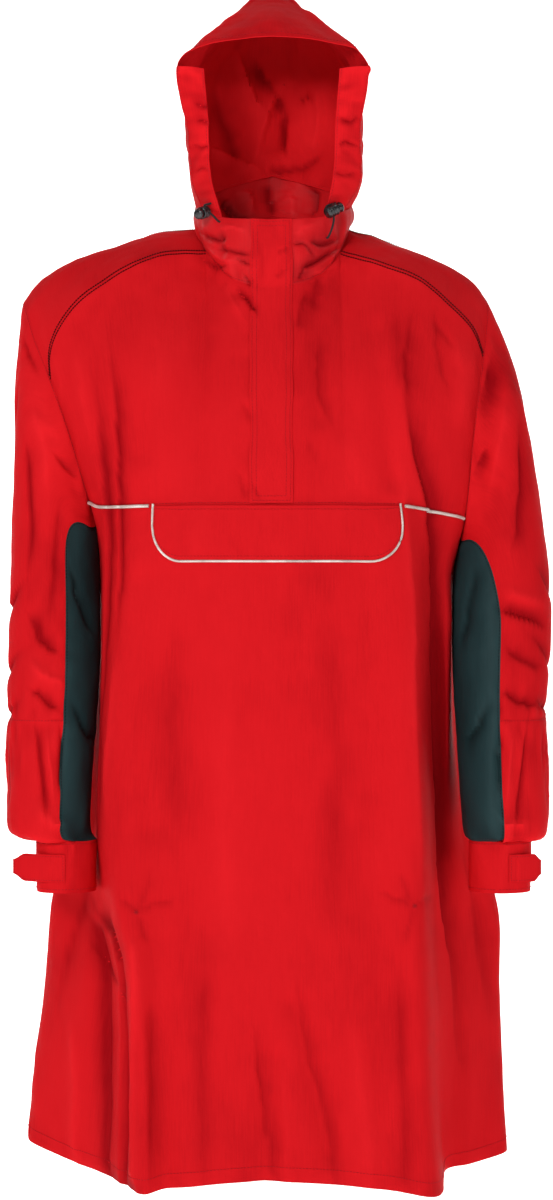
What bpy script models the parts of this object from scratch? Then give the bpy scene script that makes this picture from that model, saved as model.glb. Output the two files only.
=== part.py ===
"""Cycling poncho: a hooded rain cape with sleeves, in its worn, hollow form.

Metres, +Z up, front towards -Y, +X to the right as seen from the front. The origin is the
middle of the neck at shoulder height. Every panel of cloth is a thin closed wall on a smooth
surface, and neighbouring panels share the sample points of their seam, less the seam gap.
"""
import math

import bpy
import numpy as np
from mathutils import Matrix, Vector

# Driving sizes
CLOTH = 0.0012          # wall of the cloth
SEAM_GAP = 0.0003       # between two panels at a seam
ZIP_HALF = 0.006        # half width of the closed zip between the chest panels
FLAP_LAP = 0.0026       # pocket flap's middle above the middle of the panel wall
TAB_LAP = 0.0018
PLACKET_LAP = 0.0021    # the storm flap's middle above the panels' middle
PLACKET_PLACES = (-0.0250, -0.0165, -0.006, 0.006, 0.0155, 0.0240)    # x of its columns
PLACKET_OVER_TOP = 0.002        # above the collar's edge
PLACKET_OVER_SEAM = 0.0005      # below the chest seam
PIPING_RADIUS = 0.0012
PIPING_LAP = 0.0024     # piping's centre above the middle of the panel wall
FLAP_LEFT_X = -0.134
FLAP_RIGHT_X = 0.1445
FLAP_DEPTH = 0.062
FLAP_CORNER = 0.034
FLAP_CORNER_RISE = 0.042
FLAP_CORNER_FULL = 0.995        # keeps the corner's curve from ending upright
FLAP_GATHERED = 0.35            # how far the flap's columns crowd towards its ends
FLAP_DROP = 0.0012              # the flap's upper edge below the chest seam
CUFF_TOP_Z = -0.7212
CUFF_BOTTOM_Z = -0.7809
CUFF_MID_Y = -0.075
CUFF_HALF_DEPTH = 0.036
ELBOW_S = 0.70          # elbow seam, as a share of the sleeve's length
CORD_RADIUS = 0.0012
CORD_CLEAR = 0.0006              # from the cord's end to what it goes into
CORD_BOW = 0.0050
CORD_ROW, CORD_COLUMN = 1, 2     # place on the channel where the cord comes out
DIAGONAL_KEY = np.array([1.0, 2.0, 3.0])    # both walls at a seam split their rims alike
BACK_TO_BACK = 0.45     # panels share a normal only where their mean normal is longer than this
UNDERARM_GAP = 0.0019   # middle of the sleeve's wall from the body's where they hang together

LEFT, RIGHT = -1, 1

RED = ("cloth_red", (0.60, 0.012, 0.018), 0.62)
TEAL = ("cloth_teal", (0.012, 0.035, 0.040), 0.66)
REFLECTIVE = ("piping_reflective", (0.62, 0.58, 0.53), 0.35)
BLACK = ("lock_black", (0.012, 0.012, 0.013), 0.38)

# Skirt sections. One row for each share t of the way from chest seam to hem; x is the distance
# from the centre line. The front panel ends in a crest, folds back into a valley where the
# sleeve hangs, and comes out again over a wing to the side and round the hip to the back.
# Columns: t, front y, back y
DEPTH = (
    (0.00, -0.150, 0.143),
    (0.06, -0.154, 0.145),
    (0.15, -0.160, 0.147),
    (0.35, -0.168, 0.151),
    (0.48, -0.172, 0.155),
    (0.60, -0.176, 0.159),
    (0.75, -0.185, 0.165),
    (0.88, -0.190, 0.168),
    (1.00, -0.198, 0.175),
)
# Columns: x and y of the middle, crest, valley, wing, side and hip
SKIRT = {
    LEFT: (
        (0.100, -0.143, 0.172, -0.115, 0.200, -0.082, 0.214, -0.050, 0.205, 0.000, 0.150, 0.118),
        (0.102, -0.147, 0.171, -0.120, 0.196, -0.083, 0.202, -0.050, 0.199, 0.004, 0.152, 0.119),
        (0.105, -0.152, 0.172, -0.125, 0.195, -0.082, 0.200, -0.050, 0.197, 0.014, 0.155, 0.122),
        (0.110, -0.162, 0.183, -0.138, 0.200, -0.085, 0.204, -0.040, 0.213, 0.045, 0.165, 0.128),
        (0.112, -0.168, 0.186, -0.148, 0.203, -0.085, 0.209, -0.020, 0.238, 0.050, 0.170, 0.135),
        (0.115, -0.174, 0.178, -0.165, 0.197, -0.075, 0.225, -0.008, 0.262, 0.038, 0.180, 0.140),
        (0.118, -0.183, 0.162, -0.180, 0.190, -0.098, 0.228, -0.050, 0.272, 0.020, 0.190, 0.145),
        (0.115, -0.190, 0.158, -0.190, 0.198, -0.095, 0.240, -0.048, 0.285, 0.015, 0.195, 0.150),
        (0.112, -0.197, 0.158, -0.195, 0.203, -0.090, 0.250, -0.040, 0.293, 0.012, 0.200, 0.155),
    ),
    RIGHT: (
        (0.100, -0.143, 0.162, -0.120, 0.200, -0.085, 0.227, -0.050, 0.222, 0.000, 0.155, 0.118),
        (0.102, -0.147, 0.164, -0.127, 0.191, -0.078, 0.211, -0.052, 0.209, 0.003, 0.158, 0.119),
        (0.103, -0.152, 0.166, -0.135, 0.187, -0.070, 0.210, -0.054, 0.208, 0.010, 0.160, 0.122),
        (0.106, -0.160, 0.170, -0.145, 0.188, -0.062, 0.212, -0.048, 0.216, 0.045, 0.168, 0.128),
        (0.109, -0.165, 0.175, -0.150, 0.192, -0.055, 0.216, -0.025, 0.243, 0.050, 0.175, 0.135),
        (0.112, -0.170, 0.177, -0.158, 0.196, -0.055, 0.232, -0.008, 0.272, 0.038, 0.185, 0.140),
        (0.114, -0.178, 0.181, -0.165, 0.203, -0.060, 0.240, -0.012, 0.276, 0.035, 0.190, 0.145),
        (0.116, -0.184, 0.186, -0.165, 0.203, -0.050, 0.240, -0.010, 0.279, 0.035, 0.195, 0.150),
        (0.120, -0.192, 0.194, -0.160, 0.206, -0.035, 0.240, -0.006, 0.284, 0.030, 0.200, 0.155),
    ),
}
# Share u of the way round from the front (0) to the back (1) of each named column of a section
U_MID, U_CREST, U_VALLEY, U_WING, U_SIDE, U_HIP = 0.20, 0.36, 0.44, 0.52, 0.60, 0.78
U_KNOTS = (U_MID, U_CREST, U_VALLEY, U_WING, U_SIDE, U_HIP)

# Heights of the chest seam and of the hem at the front, middle, crest, valley, wing, side, hip
# and back
HEIGHTS = {
    LEFT: (
        (-0.333, -1.094), (-0.333, -1.100), (-0.334, -1.105), (-0.333, -1.106),
        (-0.328, -1.100), (-0.350, -1.092), (-0.348, -1.108), (-0.345, -1.118),
    ),
    RIGHT: (
        (-0.333, -1.094), (-0.333, -1.102), (-0.335, -1.116), (-0.341, -1.118),
        (-0.348, -1.116), (-0.365, -1.110), (-0.355, -1.114), (-0.345, -1.118),
    ),
}

# Armholes: turn v in degrees (180 under the arm, 0 on the shoulder, negative behind), x, y, z
ARMHOLE = {
    LEFT: (
        (-180, 0.205, 0.000, -0.350), (-150, 0.211, 0.032, -0.322), (-110, 0.228, 0.062, -0.262),
        (-75, 0.250, 0.070, -0.192), (-40, 0.280, 0.055, -0.125), (-15, 0.294, 0.022, -0.093),
        (0, 0.298, 0.002, -0.084), (15, 0.294, -0.018, -0.093), (40, 0.282, -0.040, -0.128),
        (74, 0.261, -0.062, -0.180), (110, 0.238, -0.070, -0.245), (150, 0.214, -0.050, -0.328),
        (165, 0.207, -0.027, -0.345), (180, 0.205, 0.000, -0.350),
    ),
    RIGHT: (
        (-180, 0.222, 0.000, -0.365), (-150, 0.226, 0.032, -0.337), (-110, 0.232, 0.062, -0.266),
        (-75, 0.237, 0.070, -0.192), (-40, 0.246, 0.055, -0.125), (-15, 0.254, 0.022, -0.090),
        (0, 0.256, 0.002, -0.080), (15, 0.256, -0.018, -0.090), (40, 0.253, -0.038, -0.122),
        (60, 0.249, -0.052, -0.152), (110, 0.236, -0.070, -0.250), (150, 0.227, -0.050, -0.348),
        (165, 0.223, -0.027, -0.362), (180, 0.222, 0.000, -0.365),
    ),
}
V_CHEST = 150                      # the chest seam meets the armhole here
V_YOKE_FRONT = {LEFT: 74, RIGHT: 60}
V_YOKE_BACK = -40

# Neck rings: turn phi from the front in degrees and the height there
PHI_YOKE_FRONT, PHI_YOKE_BACK = 62, 88
NECKLINE = dict(half_width=0.088, front=0.100, back=0.082)
NECKLINE_Z = ((0, -0.080), (30, -0.068), (62, -0.030), (88, 0.003), (120, 0.018), (180, 0.032))
COLLAR_TOP = dict(half_width=0.092, front=0.096, back=0.086)
COLLAR_TOP_Z = ((0, 0.000), (40, 0.007), (62, 0.018), (90, 0.032), (135, 0.062), (180, 0.085))
RIGHT_NECK_SCALE = 1.04
COLLAR_BELLY = 0.004

# Yoke seams between neck and armhole: x, y, z
YOKE_FRONT_SEAM = {
    LEFT: ((0.133, -0.066, -0.035), (0.189, -0.076, -0.064), (0.236, -0.076, -0.102),
           (0.2585, -0.071, -0.142)),
    RIGHT: ((0.135, -0.068, -0.050), (0.172, -0.073, -0.065), (0.210, -0.070, -0.096),
            (0.237, -0.062, -0.124)),
}
YOKE_BACK_SEAM = {
    LEFT: ((0.140, 0.020, 0.000), (0.210, 0.044, -0.033), (0.256, 0.055, -0.075)),
    RIGHT: ((0.130, 0.020, -0.006), (0.190, 0.042, -0.036), (0.226, 0.053, -0.072)),
}
CENTRE_FRONT = ((-0.143, -0.270), (-0.127, -0.180), (-0.110, -0.120))   # y, z below the neckline
CHEST_BULGE = 0.012
BACK_BULGE = 0.036
NECK_FADE = 3.0           # how fast the scoop at the neck dies away down the back
YOKE_FADE = 1.8
BACK_FADE = 3.0           # how fast the armholes' curve dies away across the back
NECK_SHARE = 0.16         # half of the neck's share of the back's columns
NECK_MASK = 0.2           # share of the back's width over which the neck's scoop sets in
BLADES_FULL = 6.75        # makes the shoulder blades' swelling 1 where it is fullest

# Large folds: front (-1) or back (1), from x, z to x, z, half width, push out (+) or in (-)
FOLDS = (
    (-1, -0.004, -0.960, -0.008, -1.100, 0.016, -0.007),
    (-1, 0.030, -0.900, 0.066, -1.060, 0.014, -0.006),
    (-1, 0.096, -0.820, 0.120, -1.100, 0.026, 0.006),
    (-1, -0.076, -0.860, -0.092, -1.100, 0.028, 0.006),
    (-1, -0.150, -0.420, -0.136, -0.700, 0.016, -0.005),
    (-1, 0.052, -0.100, 0.056, -0.230, 0.013, -0.005),
    (-1, 0.120, -0.130, 0.140, -0.300, 0.016, -0.006),
    (-1, -0.120, -0.110, -0.150, -0.270, 0.018, -0.005),
    (-1, -0.045, -0.085, -0.075, -0.055, 0.010, -0.005),
    (-1, 0.045, -0.085, 0.070, -0.055, 0.010, -0.005),
    (1, -0.120, -0.250, -0.135, -1.110, 0.034, -0.014),
    (1, -0.030, -0.420, -0.022, -1.110, 0.036, 0.010),
    (1, 0.062, -0.330, 0.080, -1.110, 0.032, -0.013),
    (1, 0.160, -0.600, 0.168, -1.110, 0.026, 0.009),
    (1, -0.170, -0.640, -0.185, -1.110, 0.022, 0.008),
    (1, 0.010, -0.060, 0.020, -0.260, 0.030, -0.006),
)

# Sleeves: drop below the neck, outer x, inner x, y of the middle, half depth
SLEEVE = {
    LEFT: (
        (0.084, 0.298, 0.206, 0.002, 0.070), (0.140, 0.302, 0.206, 0.000, 0.074),
        (0.200, 0.307, 0.206, 0.000, 0.076), (0.300, 0.310, 0.208, -0.002, 0.073),
        (0.400, 0.311, 0.2065, -0.012, 0.067), (0.480, 0.314, 0.2045, -0.024, 0.063),
        (0.580, 0.3125, 0.2075, -0.045, 0.060), (0.660, 0.309, 0.2125, -0.062, 0.056),
        (0.716, 0.304, 0.2115, -0.071, 0.051),
    ),
    RIGHT: (
        (0.080, 0.258, 0.224, 0.002, 0.070), (0.140, 0.283, 0.224, 0.000, 0.074),
        (0.200, 0.300, 0.224, 0.000, 0.076), (0.300, 0.317, 0.226, -0.002, 0.073),
        (0.380, 0.328, 0.2195, -0.010, 0.069), (0.450, 0.333, 0.2160, -0.020, 0.065),
        (0.580, 0.3245, 0.2170, -0.045, 0.060), (0.660, 0.3225, 0.2215, -0.062, 0.056),
        (0.716, 0.3185, 0.2275, -0.071, 0.051),
    ),
}
# Rings that a sleeve runs through below its armhole: share s, height, outer side raised by
SLEEVE_RINGS = (
    (0.22, -0.300, 0.105), (0.42, -0.445, 0.040), (ELBOW_S, -0.580, 0.000),
    (0.86, -0.660, 0.000), (0.955, -0.716, 0.000),
)
CUFF = {LEFT: (0.2403, 0.0345), RIGHT: (0.2665, 0.0355)}       # middle x, half width
TAB_REACH = {LEFT: 0.050, RIGHT: 0.032}                        # length that stands off the cuff
TAB_START_V = {LEFT: 92, RIGHT: 78}
TAB_HALF = 0.0160                                              # half width, and how much it
TAB_TAPER = 0.0075                                             # narrows over its end
TAB_TAPER_FROM = 0.72
TAB_DROP = 0.001                                               # below the cuff's middle
TAB_LEAVE_V = 60                                               # the tab stands off from here
V_UNDER = {LEFT: 110, RIGHT: 97}                               # front edge of the dark panel
V_UNDER_BACK = -110
UNDER_OPENS = {LEFT: 0.30, RIGHT: 0.46}       # share of the sleeve where it reaches full width
HANG_FRONT, HANG_FRONT_OVER = 138, 22         # turns where sleeve and body hang together
HANG_BACK, HANG_BACK_OVER = 75, 35

# Hood arches from face to nape. foot_phi is on the collar's top; then x y z of the low cheek,
# high cheek, corner (edge of the middle panel) and brow, and y z of the ridge
HOOD = (
    (62, 0.094, -0.060, 0.050, 0.100, -0.090, 0.107, 0.1095, -0.118, 0.174,
     0.0757, -0.126, 0.197, -0.130, 0.2065),
    (80, 0.097, -0.020, 0.060, 0.103, -0.040, 0.130, 0.086, -0.075, 0.204,
     0.050, -0.082, 0.226, -0.085, 0.238),
    (95, 0.096, 0.020, 0.080, 0.098, 0.005, 0.165, 0.055, -0.020, 0.243,
     0.028, -0.022, 0.262, -0.022, 0.268),
    (105, 0.092, 0.050, 0.100, 0.086, 0.050, 0.198, 0.0245, 0.030, 0.283,
     0.012, 0.030, 0.2865, 0.030, 0.288),
    (117, 0.083, 0.076, 0.112, 0.071, 0.096, 0.190, 0.034, 0.105, 0.237,
     0.018, 0.109, 0.240, 0.110, 0.241),
    (128, 0.073, 0.084, 0.104, 0.059, 0.103, 0.138, 0.038, 0.115, 0.152,
     0.020, 0.119, 0.154, 0.120, 0.154),
)
HOOD_CHEEK = {LEFT: (0.0, 0.0), RIGHT: (0.010, 0.004)}     # low and high cheek stand out further
HOOD_STATIONS = (0.0, 0.20, 0.38, 0.52, 0.70, 0.85, 1.0)
CROWN_S = 0.52
NAPE_PHI = (140, 146, 151, 157, 168, 180)      # foot, low, high, corner, brow, ridge
HOOD_KNOTS = (1.0, 0.80, 0.60, 0.38, 0.18, 0.0)
CORNER = 0.38
# Inner edge of the drawcord channel, from its foot on the collar up to the peak: x y z
CHANNEL_FOOT_PHI = 40
CHANNEL_EDGE = ((0.0705, -0.095, 0.045), (0.0740, -0.112, 0.115), (0.0780, -0.123, 0.170))

# Where the cord goes back in at the collar: turn phi, share of the collar's height
CORD_FOOT = {LEFT: (-41, 0.90), RIGHT: (41, 0.60)}

# Cord locks: middle, direction of the button, outside the hood's foot
LOCK = {
    LEFT: (Vector((-0.0802, -0.0700, 0.0126)), Vector((-0.42, -0.86, -0.28))),
    RIGHT: (Vector((0.0695, -0.0842, 0.0121)), Vector((0.80, 0.40, 0.42))),
}
LOCK_RADIUS = 0.0072
LOCK_LENGTH = 0.0150
LOCK_BORE = 0.0052
LOCK_FLOOR = 0.0030
LOCK_GAP = 0.0040        # under the button's head, a little more than its travel
BUTTON_STEM = 0.0049
BUTTON_HEAD = 0.0062
BUTTON_HEIGHT = 0.0040


def smooth_curve(knots, values, at):
    """Cubic through values at knots, along the axis before the last, read at the places `at`."""
    knots = np.asarray(knots, float)
    values = np.asarray(values, float)
    at = np.asarray(at, float)
    slopes = np.gradient(values, knots, axis=-2)
    index = np.clip(np.searchsorted(knots, at, side="right") - 1, 0, len(knots) - 2)
    step = (knots[index + 1] - knots[index])[:, None]
    s = ((at - knots[index])[:, None]) / step
    start, end = values[..., index, :], values[..., index + 1, :]
    start_slope, end_slope = slopes[..., index, :] * step, slopes[..., index + 1, :] * step
    return ((2 * s**3 - 3 * s**2 + 1) * start + (s**3 - 2 * s**2 + s) * start_slope
            + (3 * s**2 - 2 * s**3) * end + (s**3 - s**2) * end_slope)


def smooth_step(value):
    """0 below 0, 1 above 1, with level ends between."""
    value = np.clip(value, 0.0, 1.0)
    return value * value * (3 - 2 * value)


def mirrored(points, side):
    """The points with their x on the given side."""
    return np.asarray(points, float) * (side, 1, 1)


def section_controls(t):
    """Control points of the skirt sections at the shares t: knots u from -1 to 1, x and y."""
    shares = [row[0] for row in DEPTH]
    depth = smooth_curve(shares, [row[1:] for row in DEPTH], t)
    sides = {side: smooth_curve(shares, SKIRT[side], t).reshape(len(t), 6, 2)
             for side in (LEFT, RIGHT)}
    front = np.stack([np.zeros(len(t)), depth[:, 0]], axis=-1)[:, None]
    back = np.stack([np.zeros(len(t)), depth[:, 1]], axis=-1)[:, None]
    left = sides[LEFT][:, ::-1] * (-1, 1)
    ring = np.concatenate([back, left, front, sides[RIGHT], back], axis=1)
    ring = np.concatenate([ring[:, -2:-1], ring, ring[:, 1:2]], axis=1)
    knots = np.array([-1 - (1 - U_HIP), -1, *[-u for u in U_KNOTS[::-1]], 0, *U_KNOTS, 1,
                      1 + (1 - U_HIP)])
    return knots, ring


def section_heights(u):
    """Heights of the chest seam and of the hem at the places u round the skirt."""
    knots = [-1, *[-k for k in U_KNOTS[::-1]], 0, *U_KNOTS, 1]
    heights = [*HEIGHTS[LEFT][::-1], *HEIGHTS[RIGHT][1:]]
    return smooth_curve(knots, heights, u)


def skirt(t, u):
    """The skirt's surface: share t from chest seam to hem, u round it from back to back."""
    knots, ring = section_controls(np.asarray(t, float))
    xy = smooth_curve(knots, ring, u)
    heights = section_heights(u)
    z = heights[None, :, 0] + (heights[:, 1] - heights[:, 0])[None] * np.asarray(t)[:, None]
    return np.concatenate([xy, z[..., None]], axis=-1)


def armhole(side, v):
    """Points of an armhole at the turns v."""
    table = np.array(ARMHOLE[side], float)
    return mirrored(smooth_curve(table[:, 0], table[:, 1:], v), side)


def neck_ring(ring, heights, phi):
    """Points of a ring round the neck at the turns phi, negative to the left."""
    phi = np.asarray(phi, float)
    turn = np.radians(phi)
    width = np.where(phi > 0, ring["half_width"] * RIGHT_NECK_SCALE, ring["half_width"])
    reach = np.where(np.cos(turn) > 0, ring["front"], ring["back"])
    knots, z = zip(*heights)
    height = smooth_curve(knots, [(value,) for value in z], np.abs(phi))[:, 0]
    return np.stack([width * np.sin(turn), -reach * np.cos(turn), height], axis=-1)


def neckline(phi):
    """The seam between the body and the collar."""
    return neck_ring(NECKLINE, NECKLINE_Z, phi)


def collar_top(phi):
    """The collar's upper edge, where the hood is sewn on behind."""
    return neck_ring(COLLAR_TOP, COLLAR_TOP_Z, phi)


def collar_edge(phi):
    """Points on the straight runs between the collar's top samples, a seam gap above it."""
    samples = neck_columns()
    signed = np.where(samples > 180, samples - 360, samples)
    points = collar_top(signed) + (0, 0, SEAM_GAP)
    turned = np.where(np.asarray(phi, float) < 0, np.asarray(phi, float) + 360, phi)
    return np.stack([np.interp(turned, samples, points[:, axis]) for axis in range(3)], axis=-1)


def seam_curve(start, middle, end, count):
    """Even samples along a smooth seam through the given points."""
    points = np.vstack([start[None], middle, end[None]])
    lengths = np.linalg.norm(np.diff(points, axis=0), axis=1)
    knots = np.concatenate([[0], np.cumsum(lengths)])
    return smooth_curve(knots, points, np.linspace(0, knots[-1], count))


def patch(bottom, top, start, end, fade=1.0):
    """Patch of rows from bottom to top and columns from the start edge to the end edge.

    Rows run straight from bottom to top. How far the start and end edges stray from their own
    chords is added beside them, and dies away towards the middle by the power `fade`.
    """
    a = arc_share(bottom, top)[None, :, None]
    b = arc_share(start, end)[:, None, None]
    ruled = (1 - b) * bottom[None] + b * top[None]
    start_stray = start[:, None] - (1 - b) * bottom[0] - b * top[0]
    end_stray = end[:, None] - (1 - b) * bottom[-1] - b * top[-1]
    return ruled + (1 - a) ** fade * start_stray + a ** fade * end_stray


def arc_share(one, other):
    """Mean share of the way along two opposite edges at each of their samples."""
    shares = []
    for edge in (one, other):
        run = np.concatenate([[0], np.cumsum(np.linalg.norm(np.diff(edge, axis=0), axis=1))])
        shares.append(run / run[-1])
    return (shares[0] + shares[1]) / 2


def dome(rows, columns):
    """A soft swelling, 1 in the middle of a patch, and level at 0 along its edges."""
    across = np.sin(np.pi * np.linspace(0, 1, columns)) ** 2
    up = np.sin(np.pi * np.linspace(0, 1, rows)) ** 2
    return up[:, None] * across[None]


def blades(up, columns):
    """A swelling at the shares `up` of a height: level at 0 and fullest at two thirds."""
    across = np.sin(np.pi * np.linspace(0, 1, columns))
    return (BLADES_FULL * up ** 2 * (1 - up))[:, None] * across[None]


# Sample counts along the shared seams
NECK_FRONT, YOKE_LONG, YOKE_WIDE, NECK_BACK, CHEST_HIGH = 7, 9, 6, 10, 6
ARM_LOW = np.array([180.0, 175, 170, 165, 150])
ARM_BACK = np.concatenate([np.linspace(V_YOKE_BACK, -163, 9), [-170, -175, -180]])
SKIRT_ROWS = np.concatenate([[0.0, 0.03], np.linspace(0.08, 1, 12)])
U_ZIP = 0.0118           # x is ZIP_HALF here
U_NECK = 0.165
U_CHEST = np.concatenate([np.linspace(U_ZIP, U_NECK, NECK_FRONT + 1)[:-1],
                          np.linspace(U_NECK, U_WING, YOKE_LONG + 1)])
U_LOW = U_SIDE - (180 - ARM_LOW[::-1]) / (180 - V_CHEST) * (U_SIDE - U_WING)


def push_folds(points):
    """Move points of the body out or in near each of the large folds."""
    moved = points.copy()
    for side, x0, z0, x1, z1, width, push in FOLDS:
        start, run = np.array([x0, z0]), np.array([x1 - x0, z1 - z0])
        flat = points[..., [0, 2]] - start
        share = np.clip((flat @ run) / (run @ run), 0, 1)
        away = np.linalg.norm(flat - share[..., None] * run, axis=-1)
        weight = np.exp(-(away / width) ** 2)
        weight = weight * smooth_step(points[..., 1] * side / 0.06)
        moved[..., 1] += side * push * weight
    return moved


def armhole_samples(side):
    """The armhole's sample points, in the order of the pieces that end on it."""
    chest = np.linspace(V_CHEST, V_YOKE_FRONT[side], CHEST_HIGH + 1)
    yoke = np.linspace(V_YOKE_FRONT[side], V_YOKE_BACK, YOKE_WIDE + 1)
    return {"low": ARM_LOW, "chest": chest, "yoke": yoke, "back": ARM_BACK}


def chest_grid(side):
    """Chest panel: rows from the chest seam up, columns from the zip out to the armhole."""
    bottom = skirt([0.0], side * U_CHEST)[0]
    bottom[-1] = armhole(side, [V_CHEST])[0]
    first_phi = math.degrees(math.asin(ZIP_HALF / NECKLINE["half_width"]))
    neck = neckline(side * np.linspace(first_phi, PHI_YOKE_FRONT, NECK_FRONT + 1))
    seam = yoke_seam(side, YOKE_FRONT_SEAM, PHI_YOKE_FRONT, V_YOKE_FRONT[side])
    top = np.vstack([neck[:-1], seam])
    middle = np.array([(side * ZIP_HALF, y, z) for y, z in CENTRE_FRONT])
    start = seam_curve(bottom[0], middle, top[0], CHEST_HIGH + 1)
    end = armhole(side, armhole_samples(side)["chest"])
    grid = patch(bottom, top, start, end)
    grid[..., 1] -= CHEST_BULGE * dome(*grid.shape[:2])
    return grid


def yoke_seam(side, table, phi, v):
    """Samples along a yoke seam from the neck to the armhole."""
    start = neckline([side * phi])[0]
    return seam_curve(start, mirrored(table[side], side), armhole(side, [v])[0], YOKE_LONG + 1)


def yoke_grid(side):
    """Yoke: rows over the shoulder from the front seam, columns from the neck out."""
    front = yoke_seam(side, YOKE_FRONT_SEAM, PHI_YOKE_FRONT, V_YOKE_FRONT[side])
    back = yoke_seam(side, YOKE_BACK_SEAM, PHI_YOKE_BACK, V_YOKE_BACK)
    neck = neckline(side * np.linspace(PHI_YOKE_FRONT, PHI_YOKE_BACK, YOKE_WIDE + 1))
    arm = armhole(side, armhole_samples(side)["yoke"])
    return patch(front, back, neck, arm, fade=YOKE_FADE)


def front_columns():
    """Places u of the lower front's columns, from the left side seam to the right one."""
    half = np.concatenate([U_CHEST, U_LOW[1:]])
    return np.concatenate([-half[::-1], [0.0], half])


def front_grid():
    """Lower front: rows from the chest seam down, columns from left to right."""
    grid = skirt(SKIRT_ROWS, front_columns())
    low = len(ARM_LOW)
    grid[0, :low] = armhole(LEFT, ARM_LOW)
    grid[0, -low:] = armhole(RIGHT, ARM_LOW)[::-1]
    return grid


def back_columns():
    """Places u of the back's columns, from the right side seam round to the left one."""
    right = np.linspace(U_SIDE, 1 - NECK_SHARE, YOKE_LONG + 1)
    middle = np.linspace(1 - NECK_SHARE, 1 + NECK_SHARE, NECK_BACK + 1)
    return np.concatenate([right[:-1], middle, 2 - right[::-1][1:]])


def back_grid():
    """Back: rows from the hem up to the yoke seams and the neckline, columns right to left."""
    u = back_columns()
    folded = np.where(u > 1, u - 2, u)
    lower = skirt(SKIRT_ROWS[::-1], folded)
    right = yoke_seam(RIGHT, YOKE_BACK_SEAM, PHI_YOKE_BACK, V_YOKE_BACK)[::-1]
    left = yoke_seam(LEFT, YOKE_BACK_SEAM, PHI_YOKE_BACK, V_YOKE_BACK)
    phi = np.linspace(PHI_YOKE_BACK, 360 - PHI_YOKE_BACK, NECK_BACK + 1)
    neck = neckline(np.where(phi > 180, phi - 360, phi))
    top = np.vstack([right[:-1], neck, left[1:]])
    sides = [armhole(side, ARM_BACK[::-1]) for side in (RIGHT, LEFT)]
    upper = patch(lower[-1], top, *sides, fade=BACK_FADE)
    level = np.polyval(np.polyfit(top[:, 0], top[:, 1], 2), top[:, 0])
    along = np.linspace(0, 1, len(top))
    stray = (top[:, 1] - level) * smooth_step(np.minimum(along, 1 - along) / NECK_MASK)
    rise = arc_share(*sides)[:, None]
    upper[..., 1] += stray[None] * (rise ** NECK_FADE - rise)
    upper[..., 1] += BACK_BULGE * blades(rise[:, 0], len(top))
    return np.vstack([lower, upper[1:]])


def neck_columns():
    """Turns phi of the collar's columns, from the left of the zip round the back to the right."""
    first = math.degrees(math.asin(ZIP_HALF / NECKLINE["half_width"]))
    front = np.linspace(first, PHI_YOKE_FRONT, NECK_FRONT + 1)
    side = np.linspace(PHI_YOKE_FRONT, PHI_YOKE_BACK, YOKE_WIDE + 1)
    back = np.linspace(PHI_YOKE_BACK, 360 - PHI_YOKE_BACK, NECK_BACK + 1)
    half = np.concatenate([front[:-1], side[:-1]])
    return np.concatenate([half, back, 360 - half[::-1]])


def collar_grid(rows=5):
    """Collar: rows from the neckline up, columns round the neck from right to left."""
    phi = neck_columns()
    signed = np.where(phi > 180, phi - 360, phi)
    share = np.linspace(0, 1, rows)[:, None, None]
    grid = (1 - share) * neckline(signed) + share * collar_top(signed)
    turn = np.radians(signed)
    out = np.stack([np.sin(turn), -np.cos(turn), 0 * turn], axis=-1)
    return grid + COLLAR_BELLY * np.sin(np.pi * share) * out


def sleeve_ring(side, z, v):
    """Points of a sleeve at the heights z and turns v."""
    table = np.array(SLEEVE[side], float)
    sizes = smooth_curve(table[:, 0], table[:, 1:], np.clip(-z, table[0, 0], table[-1, 0]))
    outer, inner, mid_y, half_depth = sizes.T
    turn = np.radians(v)
    x = (outer + inner) / 2 + (outer - inner) / 2 * np.cos(turn)
    return mirrored(np.stack([x, mid_y - half_depth * np.sin(turn), z], axis=-1), side)


def cuff_ring(side, z, v, grow=0.0):
    """Points of a cuff at the height z, its radii grown by `grow`."""
    turn = np.radians(v)
    middle, half_width = CUFF[side]
    x = middle + (half_width + grow) * np.cos(turn)
    y = CUFF_MID_Y - (CUFF_HALF_DEPTH + grow) * np.sin(turn)
    return mirrored(np.stack([x, y, np.full_like(x, z)], axis=-1), side)


def sleeve_turns(side, s):
    """Turns v of a sleeve's columns at the share s, red panel first, then the dark one."""
    sample = armhole_samples(side)
    loop = np.concatenate([sample["low"][3:-1], sample["chest"][:-1], sample["yoke"][:-1],
                           sample["back"][:-3]])
    wide = np.linspace(V_UNDER[side], V_UNDER_BACK, len(loop))
    under = np.concatenate([[-163.0, -170, -175, -180], [-185, -190, -195]])
    under_wide = np.linspace(V_UNDER_BACK, V_UNDER[side] - 360, len(under))
    share = smooth_step(s / UNDER_OPENS[side])
    red = (1 - share) * loop + share * wide
    dark = (1 - share) * under + share * under_wide
    return red, dark


def sleeve_rows(side, shares, dark):
    """A sleeve panel: rows down the sleeve at the shares s, columns round it."""
    rows = []
    knots = [0.0, *[ring[0] for ring in SLEEVE_RINGS], 1.0]
    for s in shares:
        v = sleeve_turns(side, s)[1 if dark else 0]
        wrapped = np.where(v < -180, v + 360, v)
        hanging = np.where(wrapped > 0, smooth_step((wrapped - HANG_FRONT) / HANG_FRONT_OVER),
                           smooth_step((-wrapped - HANG_BACK) / HANG_BACK_OVER))
        edge = armhole(side, wrapped)
        edge[:, 0] += side * UNDERARM_GAP * hanging
        rings = [edge]
        for _, height, raised in SLEEVE_RINGS:
            rings.append(sleeve_ring(side, height + raised * np.cos(np.radians(v)), v))
        rings.append(cuff_ring(side, CUFF_TOP_Z, v))
        stack = np.stack(rings, axis=1)
        rows.append(smooth_curve(knots, stack, [s])[:, 0])
    return np.array(rows)


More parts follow.
